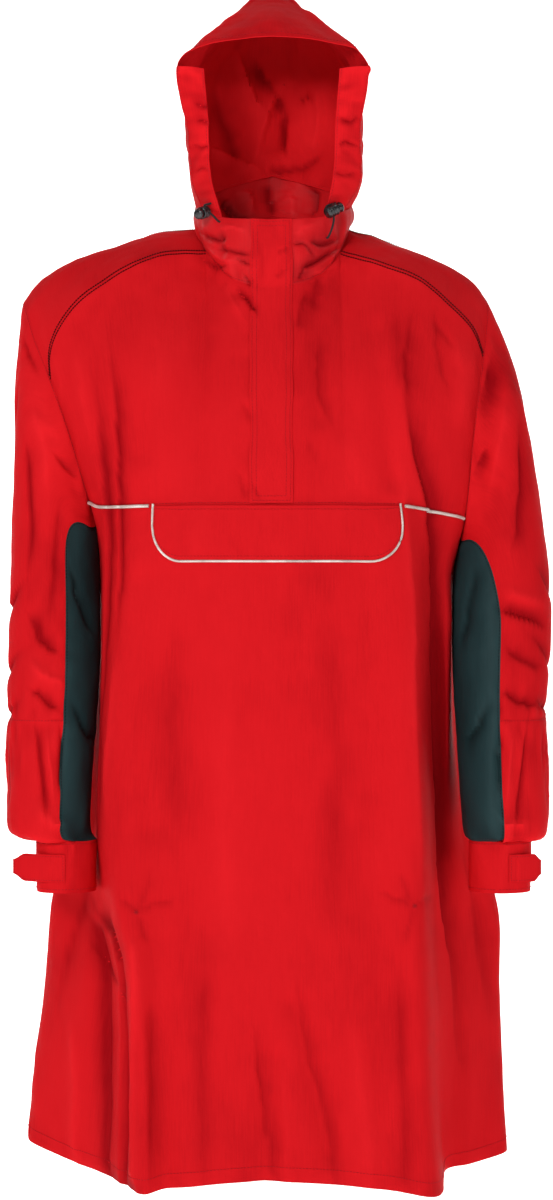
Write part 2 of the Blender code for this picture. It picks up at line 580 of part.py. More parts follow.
def cuff_grid(side, rows=4):
    """Cuff: a closed band that takes up the sleeve's columns."""
    red, dark = sleeve_turns(side, 1.0)
    v = np.concatenate([red, dark[1:-1]])
    return np.array([cuff_ring(side, z, v) for z in np.linspace(CUFF_TOP_Z, CUFF_BOTTOM_Z, rows)])


def tab_grid(side, columns=12, rows=4):
    """Cuff tab: lies on the cuff from its front round to the outer edge, then stands off."""
    turns = np.linspace(TAB_START_V[side], TAB_LEAVE_V, columns - 5)
    base = cuff_ring(side, 0.0, turns, grow=TAB_LAP)
    last = base[-1] - base[-2]
    ahead = last / np.linalg.norm(last)
    reach = np.linspace(0, TAB_REACH[side], 6)[1:, None]
    path = np.vstack([base, base[-1] + ahead * reach])
    share = np.linspace(0, 1, len(path))
    half = TAB_HALF - TAB_TAPER * smooth_step((share - TAB_TAPER_FROM) / (1 - TAB_TAPER_FROM))
    middle = (CUFF_TOP_Z + CUFF_BOTTOM_Z) / 2 - TAB_DROP
    rise = np.linspace(1, -1, rows)[:, None]
    grid = np.repeat(path[None], rows, axis=0)
    grid[..., 2] = middle + rise * half
    return grid


def hood_arch_points(side):
    """Control points of the hood's half arches, from the foot to the ridge, for each station."""
    arches = []
    for row in HOOD:
        foot = collar_top([side * row[0]])[0] * (side, 1, 1)
        body = np.array(row[1:13]).reshape(4, 3)
        body[:2, 0] += HOOD_CHEEK[side]
        ridge = np.array([(0, row[13], row[14])])
        arches.append(np.vstack([foot[None], body, ridge]))
    nape = collar_top(side * np.array(NAPE_PHI, float)) * (side, 1, 1)
    arches.append(nape)
    return mirrored(arches, side)


def hood(s, w):
    """Hood: share s from the face edge to the nape, w from the left foot (-1) to the right."""
    left, right = hood_arch_points(LEFT), hood_arch_points(RIGHT)
    rings = np.concatenate([left, right[:, ::-1][:, 1:]], axis=1)
    knots = np.concatenate([-np.array(HOOD_KNOTS), np.array(HOOD_KNOTS[::-1])[1:]])
    flat = smooth_curve(HOOD_STATIONS, rings.reshape(len(HOOD_STATIONS), -1), s)
    controls = flat.reshape(len(s), rings.shape[1], 3)
    grid = smooth_curve(knots, controls, w)
    turns = np.array([360.0 - phi for phi in NAPE_PHI[:-1]] + [180.0] + [*NAPE_PHI[:-1]][::-1])
    grid[np.isclose(s, 1.0)] = collar_edge(np.interp(w, knots, turns))
    foot = np.interp(s, HOOD_STATIONS, [*[row[0] for row in HOOD], NAPE_PHI[0]])
    grid[:, np.isclose(w, -1)] = collar_edge(-foot)[:, None]
    grid[:, np.isclose(w, 1)] = collar_edge(foot)[:, None]
    return grid


def channel_grid(side, rows=9):
    """Drawcord channel: a strip turned in from the hood's face edge."""
    w = side * np.linspace(1, CORNER, rows)
    outer = hood(np.array([0.0]), np.sort(w))[0]
    if side == RIGHT:
        outer = outer[::-1]
    foot = collar_edge([side * CHANNEL_FOOT_PHI])[0]
    edge = mirrored(CHANNEL_EDGE, side)
    inner = seam_curve(foot, edge[:-1], edge[-1], rows)
    across = np.linspace(0, 1, 4)[None, :, None]
    grid = (1 - across) * outer[:, None] + across * inner[:, None]
    grid[..., 1] -= 0.004 * np.sin(np.pi * across[..., 0])
    turns = side * np.linspace(HOOD[0][0], CHANNEL_FOOT_PHI, 4)
    grid[0] = collar_edge(turns)
    return grid


def mesh_normals(grid):
    """Normals of a grid of points from its central differences."""
    down = np.gradient(grid, axis=0)
    across = np.gradient(grid, axis=1)
    normal = np.cross(down, across)
    length = np.linalg.norm(normal, axis=-1, keepdims=True)
    return normal / np.maximum(length, 1e-12)


class Panel:
    """One cut piece: its grid of mid-wall points and its outward normals."""

    def __init__(self, name, grid, finish, core, closed=False):
        self.name = name
        self.grid = grid
        self.finish = finish
        self.closed = closed
        self.normals = mesh_normals(grid)
        if closed:
            wide = np.concatenate([grid[:, -1:], grid, grid[:, :1]], axis=1)
            self.normals = mesh_normals(wide)[:, 1:-1]
        if np.sum(self.normals * (grid - core)) < 0:
            self.normals = -self.normals


def share_normals(panels):
    """Average the normals of panels at the seam points that they share.

    Where two panels hang back to back from their seam, as under the arm, each keeps its own.
    """
    total, count = {}, {}
    for panel in panels:
        keys = np.round(panel.grid / 1e-4).astype(int).reshape(-1, 3)
        for key, normal in zip(map(tuple, keys), panel.normals.reshape(-1, 3)):
            total[key] = total.get(key, 0) + normal
            count[key] = count.get(key, 0) + 1
    for panel in panels:
        keys = np.round(panel.grid / 1e-4).astype(int).reshape(-1, 3)
        summed = np.array([total[key] / count[key] for key in map(tuple, keys)])
        length = np.linalg.norm(summed, axis=1, keepdims=True)
        own = panel.normals.reshape(-1, 3)
        shared = np.where(length > BACK_TO_BACK, summed / np.maximum(length, 1e-12), own)
        panel.normals = shared.reshape(panel.grid.shape)


def inward(edge, neighbour):
    """Unit vectors square to an edge, towards the row of points beside it."""
    along = np.gradient(edge, axis=0)
    along /= np.linalg.norm(along, axis=-1, keepdims=True)
    step = neighbour - edge
    step = step - along * np.sum(step * along, axis=-1, keepdims=True)
    return step / np.linalg.norm(step, axis=-1, keepdims=True)


def drawn_in(grid, closed):
    """The grid with its edges moved in by half a seam gap."""
    inner = grid.copy()
    half = SEAM_GAP / 2
    inner[0] += inward(grid[0], grid[1]) * half
    inner[-1] += inward(grid[-1], grid[-2]) * half
    if not closed:
        inner[:, 0] += inward(grid[:, 0], grid[:, 1]) * half
        inner[:, -1] += inward(grid[:, -1], grid[:, -2]) * half
    return inner


def material_for(finish):
    """The named Principled material, made once."""
    name, colour, roughness = finish
    material = bpy.data.materials.get(name)
    if material is None:
        material = bpy.data.materials.new(name)
        material.use_nodes = True
        shader = material.node_tree.nodes["Principled BSDF"]
        shader.inputs["Base Color"].default_value = (*colour, 1.0)
        shader.inputs["Roughness"].default_value = roughness
        material.diffuse_color = (*colour, 1.0)
    return material


def add_object(name, points, faces, finish):
    """A closed mesh object with its faces turned outwards and shaded smooth."""
    mesh = bpy.data.meshes.new(name)
    mesh.from_pydata([tuple(p) for p in points], [], faces)
    mesh.update()
    item = bpy.data.objects.new(name, mesh)
    bpy.context.scene.collection.objects.link(item)
    mesh.materials.append(material_for(finish))
    turn_outwards(mesh)
    mesh.shade_smooth()
    mesh.set_sharp_from_angle(angle=math.radians(40))
    return item


def turn_outwards(mesh):
    """Turn a closed mesh's faces out."""
    volume = 0.0
    for polygon in mesh.polygons:
        corners = [mesh.vertices[i].co for i in polygon.vertices]
        for second, third in zip(corners[1:-1], corners[2:]):
            volume += corners[0].dot(second.cross(third))
    if volume < 0:
        mesh.flip_normals()


def wall(panel, thickness=CLOTH):
    """Build a panel as a closed wall round its grid of mid points."""
    grid = drawn_in(panel.grid, panel.closed)
    rows, columns = grid.shape[:2]
    layers = [grid + panel.normals * thickness / 2, grid - panel.normals * thickness / 2]
    points = np.concatenate([layer.reshape(-1, 3) for layer in layers])
    size = rows * columns

    def at(layer, row, column):
        return layer * size + row * columns + column % columns

    faces = []
    for row in range(rows - 1):
        for column in range(columns if panel.closed else columns - 1):
            corner = [at(0, row, column), at(0, row + 1, column),
                      at(0, row + 1, column + 1), at(0, row, column + 1)]
            for triangle in (corner[:3], [corner[0], corner[2], corner[3]]):
                faces += [triangle, [index + size for index in triangle[::-1]]]
    for (row, column), (next_row, next_column) in rim_of(rows, columns, panel.closed):
        near, far = at(0, row, column), at(0, next_row, next_column)
        if points[near] @ DIAGONAL_KEY < points[far] @ DIAGONAL_KEY:
            faces += [[far, near, far + size], [near, near + size, far + size]]
        else:
            faces += [[far, near, near + size], [far, near + size, far + size]]
    add_object(panel.name, points, faces, panel.finish)


def rim_of(rows, columns, closed):
    """Runs along a grid's edges, in the order that keeps the side walls facing as the faces."""
    last_row, last = rows - 1, columns - 1
    if closed:
        runs = [((0, c + 1), (0, c)) for c in range(columns)]
        return runs + [((last_row, c), (last_row, c + 1)) for c in range(columns)]
    runs = [((0, c + 1), (0, c)) for c in range(last)]
    runs += [((r, 0), (r + 1, 0)) for r in range(last_row)]
    runs += [((last_row, c), (last_row, c + 1)) for c in range(last)]
    return runs + [((r + 1, last), (r, last)) for r in range(last_row)]


def path_frames(path):
    """Two unit vectors square to a path at each of its points."""
    along = np.gradient(path, axis=0)
    along /= np.linalg.norm(along, axis=1, keepdims=True)
    first = np.cross(along, (0.31, 0.27, 0.91))
    first /= np.linalg.norm(first, axis=1, keepdims=True)
    return first, np.cross(along, first)


def tube(name, path, radius, finish, sides=6):
    """A round cord or piping with flat ends along a path."""
    path = np.asarray(path, float)
    first, second = path_frames(path)
    turn = 2 * np.pi * np.arange(sides) / sides
    ring = (np.cos(turn)[None, :, None] * first[:, None]
            + np.sin(turn)[None, :, None] * second[:, None])
    points = (path[:, None] + radius * ring).reshape(-1, 3)
    faces = []
    for row in range(len(path) - 1):
        for k in range(sides):
            ahead = (k + 1) % sides
            faces.append([row * sides + k, row * sides + ahead,
                          (row + 1) * sides + ahead, (row + 1) * sides + k])
    faces.append(list(range(sides))[::-1])
    faces.append([(len(path) - 1) * sides + k for k in range(sides)])
    add_object(name, points, faces, finish)


def turned(name, profile, middle, axis, finish, sides=20):
    """A turned solid: profile rows of radius and height, closed on the axis at both ends."""
    turn = 2 * np.pi * np.arange(sides) / sides
    inner = [row for row in profile if row[0] > 0]
    ring = np.array([[(r * math.cos(a), r * math.sin(a), h) for a in turn] for r, h in inner])
    points = [(0, 0, profile[0][1]), *ring.reshape(-1, 3), (0, 0, profile[-1][1])]
    faces = []
    for row in range(len(inner) - 1):
        for k in range(sides):
            ahead = (k + 1) % sides
            base, above = 1 + row * sides, 1 + (row + 1) * sides
            faces.append([base + k, base + ahead, above + ahead, above + k])
    top, last = len(points) - 1, 1 + (len(inner) - 1) * sides
    for k in range(sides):
        ahead = (k + 1) % sides
        faces.append([0, 1 + ahead, 1 + k])
        faces.append([top, last + k, last + ahead])
    item = add_object(name, points, faces, finish)
    turn_to = Vector((0, 0, 1)).rotation_difference(axis.normalized()).to_matrix().to_4x4()
    item.matrix_world = Matrix.Translation(middle) @ turn_to


def across_front(grids, x):
    """Points at the distance x from the centre line on each row of the left and right grids."""
    side = RIGHT if x > 0 else LEFT
    points = []
    for row in grids[side]:
        order = np.argsort(np.abs(row[:, 0]))
        places = np.abs(row[order, 0])
        points.append([x, *(np.interp(abs(x), places, row[order, axis]) for axis in (1, 2))])
    return np.array(points)


def front_rows(chest, collar):
    """Rows of the front from the chest seam to the collar's top, on the left and right."""
    sides = {RIGHT: collar[1:, :NECK_FRONT + 1], LEFT: collar[1:, -NECK_FRONT - 1:]}
    return {side: [*chest[side], *sides[side]] for side in (LEFT, RIGHT)}


def zip_grid(rows):
    """The closed zip between the edges of the chest panels and of the collar."""
    left = np.array([row[np.argmin(np.abs(row[:, 0]))] for row in rows[LEFT]])
    right = np.array([row[np.argmin(np.abs(row[:, 0]))] for row in rows[RIGHT]])
    return np.stack([left, (left + right) / 2, right], axis=1)


def placket_grid(rows):
    """Storm flap: follows the front over the zip, from the collar's top to the chest seam."""
    grid = np.stack([across_front(rows, x) for x in PLACKET_PLACES], axis=1)
    grid[..., 1] -= PLACKET_LAP
    grid[0, :, 2] += PLACKET_OVER_TOP
    grid[-1, :, 2] -= PLACKET_OVER_SEAM
    return grid


def flap_outline(columns=25):
    """Places across the pocket flap, crowded to its rounded lower corners, and its depth."""
    middle, half = (FLAP_LEFT_X + FLAP_RIGHT_X) / 2, (FLAP_RIGHT_X - FLAP_LEFT_X) / 2
    turn = np.linspace(-1, 1, columns)
    spread = np.sin(turn * np.pi / 2) * FLAP_GATHERED + turn * (1 - FLAP_GATHERED)
    x = middle + half * spread
    into = np.clip((np.abs(x - middle) - (half - FLAP_CORNER)) / FLAP_CORNER, 0, 1)
    rise = 1 - np.sqrt(1 - into**2 * FLAP_CORNER_FULL)
    return x, FLAP_DEPTH - FLAP_CORNER_RISE * rise


def on_skirt(x, drop):
    """Points of the lower front and its normals at the places x, `drop` below the seam."""
    u = np.linspace(-U_VALLEY, U_VALLEY, 241)
    top = skirt([0.0], u)[0]
    place = np.interp(x, top[:, 0], u)
    height = section_heights(place)
    t = drop / (height[:, 0] - height[:, 1])
    step = 1e-3
    points = np.array([skirt([ti], [ui])[0, 0] for ti, ui in zip(t, place)])
    across = np.array([skirt([ti], [ui + step])[0, 0] for ti, ui in zip(t, place)])
    down = np.array([skirt([ti + step], [ui])[0, 0] for ti, ui in zip(t, place)])
    normal = np.cross(across - points, points - down)
    normal /= np.linalg.norm(normal, axis=1, keepdims=True)
    normal[normal[:, 1] > 0] *= -1
    return push_folds(points), normal


def flap_points(rows=5):
    """The pocket flap's grid and normals on the lower front."""
    x, depth = flap_outline()
    shares = np.linspace(0, 1, rows)
    lifted, normals = [], []
    for share in shares:
        points, normal = on_skirt(x, FLAP_DROP + share * depth)
        lifted.append(points + FLAP_LAP * normal)
        normals.append(normal)
    return np.array(lifted), np.array(normals)


def flap_edge_path(grid, normals):
    """Piping's path round the flap: down one end, along the lower edge and up the other."""
    rise = np.array([0, 0, 0.003])
    left, right = grid[:, 0], grid[:, -1]
    path = np.vstack([left[:1] + rise, left[:-1], grid[-1], right[::-1][1:], right[:1] + rise])
    lift = np.vstack([normals[:1, 0], normals[:-1, 0], normals[-1], normals[::-1, -1][1:],
                      normals[:1, -1]])
    along = np.gradient(path, axis=0)
    outward = np.cross(along, lift)
    outward /= np.linalg.norm(outward, axis=1, keepdims=True)
    if np.sum(outward[len(left):-len(right), 2]) > 0:
        outward = -outward
    return path + outward * (PIPING_RADIUS + SEAM_GAP)


def chest_piping_path(side):
    """Piping's path in the chest seam from the flap to the armhole."""
    edge = FLAP_RIGHT_X + 0.0062 if side == RIGHT else -FLAP_LEFT_X + 0.0062
    end_u = U_WING - 0.016
    u = np.linspace(U_ZIP, end_u, 200)
    seam = np.abs(skirt([0.0], side * u)[0, :, 0])
    start_u = np.interp(edge, seam, u)
    places = np.linspace(start_u, end_u, 14)
    points = skirt([0.0], side * places)[0]
    along = np.gradient(points, axis=0)
    outward = np.stack([along[:, 1], -along[:, 0], 0 * along[:, 0]], axis=-1) * side
    outward /= np.linalg.norm(outward, axis=1, keepdims=True)
    outward[outward[:, 1] > 0.2] *= -1
    return push_folds(points) + outward * PIPING_LAP


def lock_profile():
    """The lock's barrel: a cup with its mouth towards the button."""
    low, high = -LOCK_LENGTH / 2, LOCK_LENGTH / 2
    chamfer = 0.0012
    return [(0, low), (LOCK_RADIUS - chamfer, low), (LOCK_RADIUS, low + chamfer),
            (LOCK_RADIUS, high - chamfer), (LOCK_RADIUS - chamfer, high), (LOCK_BORE, high),
            (LOCK_BORE, low + LOCK_FLOOR), (0, low + LOCK_FLOOR)]


def button_profile():
    """The lock's button: a stem in the barrel and a domed head."""
    mouth = LOCK_LENGTH / 2
    under = mouth + LOCK_GAP
    stem_low = -LOCK_LENGTH / 2 + LOCK_FLOOR + LOCK_GAP
    dome = BUTTON_HEIGHT
    return [(0, stem_low), (BUTTON_STEM, stem_low), (BUTTON_STEM, under), (BUTTON_HEAD, under),
            (BUTTON_HEAD, under + dome * 0.5), (BUTTON_HEAD * 0.8, under + dome * 0.86),
            (0, under + dome)]


def build_body(panels):
    """Chest, yokes, lower front, back, collar, zip and the pieces that lie on them."""
    core = np.array([0.0, 0.0, -0.35])
    chest = {}
    for side, word in ((LEFT, "left"), (RIGHT, "right")):
        chest[side] = push_folds(chest_grid(side))
        panels.append(Panel(f"chest_{word}", chest[side], RED, core))
        panels.append(Panel(f"yoke_{word}", push_folds(yoke_grid(side)), RED, core))
    axis = np.array([0.0, 0.0, 1.0])
    front = push_folds(front_grid())
    panels.append(Panel("front_lower", front, RED, front * axis))
    back = push_folds(back_grid())
    panels.append(Panel("back", back, RED, back * axis))
    collar = push_folds(collar_grid())
    panels.append(Panel("collar", collar, RED, collar * axis))
    rows = front_rows(chest, collar)
    strip = zip_grid(rows)
    panels.append(Panel("zip_front", strip, RED, strip * axis))
    placket = placket_grid(rows)
    panels.append(Panel("placket", placket, RED, placket * axis))
    flap, normals = flap_points()
    panels.append(Panel("pocket_flap", flap, RED, flap * axis))
    tube("flap_piping", flap_edge_path(flap, normals), PIPING_RADIUS, REFLECTIVE)
    for side, word in ((LEFT, "left"), (RIGHT, "right")):
        tube(f"chest_piping_{word}", chest_piping_path(side), PIPING_RADIUS, REFLECTIVE)


def build_sleeves(panels):
    """Sleeves, their dark panels, cuffs and cuff tabs."""
    upper = np.linspace(0, ELBOW_S, 9)
    lower = np.linspace(ELBOW_S, 1, 7)
    for side, word in ((LEFT, "left"), (RIGHT, "right")):
        centre = np.array([side * 0.26, -0.03, 0.0])
        for name, shares, dark, finish in (
                ("sleeve_upper", upper, False, RED), ("sleeve_lower", lower, False, RED),
                ("sleeve_under", np.concatenate([upper, lower[1:]]), True, TEAL)):
            grid = sleeve_rows(side, shares, dark)
            core = centre + grid * (0, 0, 1)
            panels.append(Panel(f"{name}_{word}", grid, finish, core))
        cuff = cuff_grid(side)
        panels.append(Panel(f"cuff_{word}", cuff, RED, cuff.mean(axis=1, keepdims=True), True))
        tab = tab_grid(side)
        panels.append(Panel(f"cuff_tab_{word}", tab, RED, cuff.mean(axis=(0, 1))))


def build_hood(panels):
    """Hood panels, peak and drawcord channels."""
    core = np.array([0.0, 0.0, 0.12])
    behind = np.array([0.0, 0.05, 0.10])
    s_side = np.linspace(0, 1, 13)
    crown = np.argmin(np.abs(s_side - CROWN_S))
    s_side[crown] = CROWN_S
    for side, word in ((LEFT, "left"), (RIGHT, "right")):
        w = np.linspace(CORNER, 1, 9)
        grid = hood(s_side, np.sort(side * w))
        panels.append(Panel(f"hood_side_{word}", grid, RED, core))
        panels.append(Panel(f"hood_channel_{word}", channel_grid(side), RED, behind))
    middle = np.linspace(-CORNER, CORNER, 11)
    panels.append(Panel("hood_peak", hood(s_side[:crown + 1], middle), RED, core))
    panels.append(Panel("hood_centre", hood(s_side[crown:], middle), RED, core))


def arc(start, leave, enter, end, count=9):
    """A smooth run from start to end, leaving and arriving along the given steps."""
    t = np.linspace(0, 1, count)[:, None]
    return ((1 - t)**3 * start + 3 * (1 - t)**2 * t * (start + leave)
            + 3 * (1 - t) * t**2 * (end + enter) + t**3 * end)


def cord_paths(side):
    """The drawcord's two short stretches: channel to lock, and lock to collar."""
    middle, axis = (np.array(vector) for vector in LOCK[side])
    axis = axis / np.linalg.norm(axis)
    up = np.array([0.0, 0.0, 1.0]) - axis * axis[2]
    up /= np.linalg.norm(up)
    down = -up
    if side == LEFT:
        down = np.array([1.0, 0.0, 0.0]) - axis * axis[0]
        down /= np.linalg.norm(down)
    strip = channel_grid(side)
    leave = strip[CORD_ROW, CORD_COLUMN]
    lift = mesh_normals(strip)[CORD_ROW, CORD_COLUMN]
    lift = lift if lift[1] < 0 else -lift
    reach = LOCK_RADIUS + CORD_CLEAR
    seat = CLOTH / 2 + CORD_CLEAR
    above = arc(leave + lift * seat, lift * CORD_BOW, up * CORD_BOW, middle + up * reach)
    phi, share = CORD_FOOT[side]
    turn = math.radians(phi)
    out = np.array([math.sin(turn), -math.cos(turn), 0.0])
    foot = (1 - share) * neckline([phi])[0] + share * collar_top([phi])[0]
    foot = foot + out * (COLLAR_BELLY * math.sin(share * math.pi) + seat)
    below = arc(middle + down * reach, down * CORD_BOW, out * CORD_BOW, foot)
    return above, below


def build_locks():
    """Cord locks with their sprung buttons, and the short stretches of drawcord."""
    for side, word in ((LEFT, "left"), (RIGHT, "right")):
        middle, axis = LOCK[side]
        above, below = cord_paths(side)
        tube(f"drawcord_upper_{word}", above, CORD_RADIUS, BLACK)
        tube(f"drawcord_lower_{word}", below, CORD_RADIUS, BLACK)
        turned(f"lock_barrel_{word}", lock_profile(), middle, axis, BLACK)
        turned(f"lock_button_{word}", button_profile(), middle, axis, BLACK)


def main():
    """Build every piece of the poncho."""
    for item in list(bpy.data.objects):
        bpy.data.objects.remove(item, do_unlink=True)
    panels = []
    build_body(panels)
    build_sleeves(panels)
    build_hood(panels)
    share_normals(panels)
    for panel in panels:
        wall(panel)
    build_locks()


main()
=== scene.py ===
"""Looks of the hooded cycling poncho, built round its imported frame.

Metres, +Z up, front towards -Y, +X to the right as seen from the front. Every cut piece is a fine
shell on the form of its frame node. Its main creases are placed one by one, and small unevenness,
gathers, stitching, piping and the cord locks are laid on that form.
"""
import logging
import math
from collections.abc import Sequence
from dataclasses import dataclass, field
from enum import Enum, IntEnum

import bpy
import numpy as np
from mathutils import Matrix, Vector


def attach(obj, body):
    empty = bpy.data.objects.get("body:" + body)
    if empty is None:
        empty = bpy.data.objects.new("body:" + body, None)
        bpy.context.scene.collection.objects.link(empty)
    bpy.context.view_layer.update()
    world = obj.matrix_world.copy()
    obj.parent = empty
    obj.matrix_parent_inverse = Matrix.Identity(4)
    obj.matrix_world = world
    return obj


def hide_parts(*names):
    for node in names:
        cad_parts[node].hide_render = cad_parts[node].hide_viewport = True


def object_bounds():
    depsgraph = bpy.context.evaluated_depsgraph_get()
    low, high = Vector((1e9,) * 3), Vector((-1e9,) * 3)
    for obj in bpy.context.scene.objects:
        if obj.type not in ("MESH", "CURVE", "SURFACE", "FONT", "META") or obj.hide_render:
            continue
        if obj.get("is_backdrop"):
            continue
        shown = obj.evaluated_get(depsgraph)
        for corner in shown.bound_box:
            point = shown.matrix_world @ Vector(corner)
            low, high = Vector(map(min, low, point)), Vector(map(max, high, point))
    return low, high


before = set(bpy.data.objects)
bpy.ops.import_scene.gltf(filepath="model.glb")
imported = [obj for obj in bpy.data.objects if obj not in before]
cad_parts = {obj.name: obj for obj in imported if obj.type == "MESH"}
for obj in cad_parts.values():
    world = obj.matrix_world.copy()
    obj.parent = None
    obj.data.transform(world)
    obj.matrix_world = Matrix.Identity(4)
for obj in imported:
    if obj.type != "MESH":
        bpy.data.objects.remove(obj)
log = logging.getLogger("poncho")
logging.basicConfig(level=logging.INFO, format="%(name)s: %(message)s")
Array = np.ndarray


class Side(IntEnum):
    """The sides as the picture shows them; the value is the sign of x."""

    LEFT = -1
    RIGHT = 1

    @property
    def word(self) -> str:
        """The side's name in the names of pieces."""
        return self.name.lower()


LEFT, RIGHT = Side.LEFT, Side.RIGHT
MM = 0.001

# The camera's view, in picture points
CAMERA_DISTANCE = 3.0
CAMERA = (0.0054, -CAMERA_DISTANCE, -0.4416)
PICTURE_MIDDLE = (276.5, 600.0)
PICTURE_POINT = 0.0012       # metres to a picture point at the camera's distance

# Driving sizes
SEAM_GAP = 0.0003       # between two panels at a seam
ZIP_HALF = 0.006        # half width of the closed zip between the chest panels
FLAP_LAP = 0.0026       # pocket flap's middle above the middle of the panel wall
TAB_LAP = 0.0018
PLACKET_LAP = 0.0021    # the storm flap's middle above the panels' middle
PIPING_RADIUS = 0.0012
PIPING_LAP = 0.0024     # piping's centre above the middle of the panel wall
FLAP_LEFT_X = -0.134
FLAP_RIGHT_X = 0.1445
FLAP_DEPTH = 0.062
FLAP_CORNER = 0.034
FLAP_CORNER_RISE = 0.042
CUFF_TOP_Z = -0.7212
CUFF_BOTTOM_Z = -0.7809
CUFF_MID_Y = -0.075
CUFF_HALF_DEPTH = 0.036
ELBOW_S = 0.70          # elbow seam, as a share of the sleeve's length
CORD_RADIUS = 0.0012
CORD_BOW = 0.0050
BACK_TO_BACK = 0.45     # panels share a normal only where their mean normal is longer than this
UNDERARM_GAP = 0.0019   # middle of the sleeve's wall from the body's where they hang together

# Skirt sections. One row for each share t of the way from chest seam to hem; x is the distance
# from the centre line. The front panel ends in a crest, folds back into a valley where the
# sleeve hangs, and comes out again over a wing to the side and round the hip to the back.
# Columns: t, front y, back y
DEPTH = (
    (0.00, -0.150, 0.143),
    (0.06, -0.154, 0.145),
    (0.15, -0.160, 0.147),
    (0.35, -0.168, 0.151),
    (0.48, -0.172, 0.155),
    (0.60, -0.176, 0.159),
    (0.75, -0.185, 0.165),
    (0.88, -0.190, 0.168),
    (1.00, -0.198, 0.175),
)
# Columns: x and y of the middle, crest, valley, wing, side and hip
SKIRT = {
    LEFT: (
        (0.100, -0.143, 0.172, -0.115, 0.200, -0.082, 0.214, -0.050, 0.205, 0.000, 0.150, 0.118),
        (0.102, -0.147, 0.171, -0.120, 0.196, -0.083, 0.202, -0.050, 0.199, 0.004, 0.152, 0.119),
        (0.105, -0.152, 0.172, -0.125, 0.195, -0.082, 0.200, -0.050, 0.197, 0.014, 0.155, 0.122),
        (0.110, -0.162, 0.183, -0.138, 0.200, -0.085, 0.204, -0.040, 0.213, 0.045, 0.165, 0.128),
        (0.112, -0.168, 0.186, -0.148, 0.203, -0.085, 0.209, -0.020, 0.238, 0.050, 0.170, 0.135),
        (0.115, -0.174, 0.178, -0.165, 0.197, -0.075, 0.225, -0.008, 0.262, 0.038, 0.180, 0.140),
        (0.118, -0.183, 0.162, -0.180, 0.190, -0.098, 0.228, -0.050, 0.272, 0.020, 0.190, 0.145),
        (0.115, -0.190, 0.158, -0.190, 0.198, -0.095, 0.240, -0.048, 0.285, 0.015, 0.195, 0.150),
        (0.112, -0.197, 0.158, -0.195, 0.203, -0.090, 0.250, -0.040, 0.293, 0.012, 0.200, 0.155),
    ),
    RIGHT: (
        (0.100, -0.143, 0.162, -0.120, 0.200, -0.085, 0.227, -0.050, 0.222, 0.000, 0.155, 0.118),
        (0.102, -0.147, 0.164, -0.127, 0.191, -0.078, 0.211, -0.052, 0.209, 0.003, 0.158, 0.119),
        (0.103, -0.152, 0.166, -0.135, 0.187, -0.070, 0.210, -0.054, 0.208, 0.010, 0.160, 0.122),
        (0.106, -0.160, 0.170, -0.145, 0.188, -0.062, 0.212, -0.048, 0.216, 0.045, 0.168, 0.128),
        (0.109, -0.165, 0.175, -0.150, 0.192, -0.055, 0.216, -0.025, 0.243, 0.050, 0.175, 0.135),
        (0.112, -0.170, 0.177, -0.158, 0.196, -0.055, 0.232, -0.008, 0.272, 0.038, 0.185, 0.140),
        (0.114, -0.178, 0.181, -0.165, 0.203, -0.060, 0.240, -0.012, 0.276, 0.035, 0.190, 0.145),
        (0.116, -0.184, 0.186, -0.165, 0.203, -0.050, 0.240, -0.010, 0.279, 0.035, 0.195, 0.150),
        (0.120, -0.192, 0.194, -0.160, 0.206, -0.035, 0.240, -0.006, 0.284, 0.030, 0.200, 0.155),
    ),
}
# Share u of the way round from the front (0) to the back (1) of each named column of a section
U_MID, U_CREST, U_VALLEY, U_WING, U_SIDE, U_HIP = 0.20, 0.36, 0.44, 0.52, 0.60, 0.78
U_KNOTS = (U_MID, U_CREST, U_VALLEY, U_WING, U_SIDE, U_HIP)

# Heights of the chest seam and of the hem at the front, middle, crest, valley, wing, side, hip
# and back
HEIGHTS = {
    LEFT: (
        (-0.333, -1.094), (-0.333, -1.100), (-0.334, -1.105), (-0.333, -1.106),
        (-0.328, -1.100), (-0.350, -1.092), (-0.348, -1.108), (-0.345, -1.118),
    ),
    RIGHT: (
        (-0.333, -1.094), (-0.333, -1.102), (-0.335, -1.116), (-0.341, -1.118),
        (-0.348, -1.116), (-0.365, -1.110), (-0.355, -1.114), (-0.345, -1.118),
    ),
}

# Armholes: turn v in degrees (180 under the arm, 0 on the shoulder, negative behind), x, y, z
ARMHOLE = {
    LEFT: (
        (-180, 0.205, 0.000, -0.350), (-150, 0.211, 0.032, -0.322), (-110, 0.228, 0.062, -0.262),
        (-75, 0.250, 0.070, -0.192), (-40, 0.280, 0.055, -0.125), (-15, 0.294, 0.022, -0.093),
        (0, 0.298, 0.002, -0.084), (15, 0.294, -0.018, -0.093), (40, 0.282, -0.040, -0.128),
        (74, 0.261, -0.062, -0.180), (110, 0.238, -0.070, -0.245), (150, 0.214, -0.050, -0.328),
        (165, 0.207, -0.027, -0.345), (180, 0.205, 0.000, -0.350),
    ),
    RIGHT: (
        (-180, 0.222, 0.000, -0.365), (-150, 0.226, 0.032, -0.337), (-110, 0.232, 0.062, -0.266),
        (-75, 0.237, 0.070, -0.192), (-40, 0.246, 0.055, -0.125), (-15, 0.254, 0.022, -0.090),
        (0, 0.256, 0.002, -0.080), (15, 0.256, -0.018, -0.090), (40, 0.253, -0.038, -0.122),
        (60, 0.249, -0.052, -0.152), (110, 0.236, -0.070, -0.250), (150, 0.227, -0.050, -0.348),
        (165, 0.223, -0.027, -0.362), (180, 0.222, 0.000, -0.365),
    ),
}
V_CHEST = 150                      # the chest seam meets the armhole here
V_YOKE_FRONT = {LEFT: 74, RIGHT: 60}
V_YOKE_BACK = -40

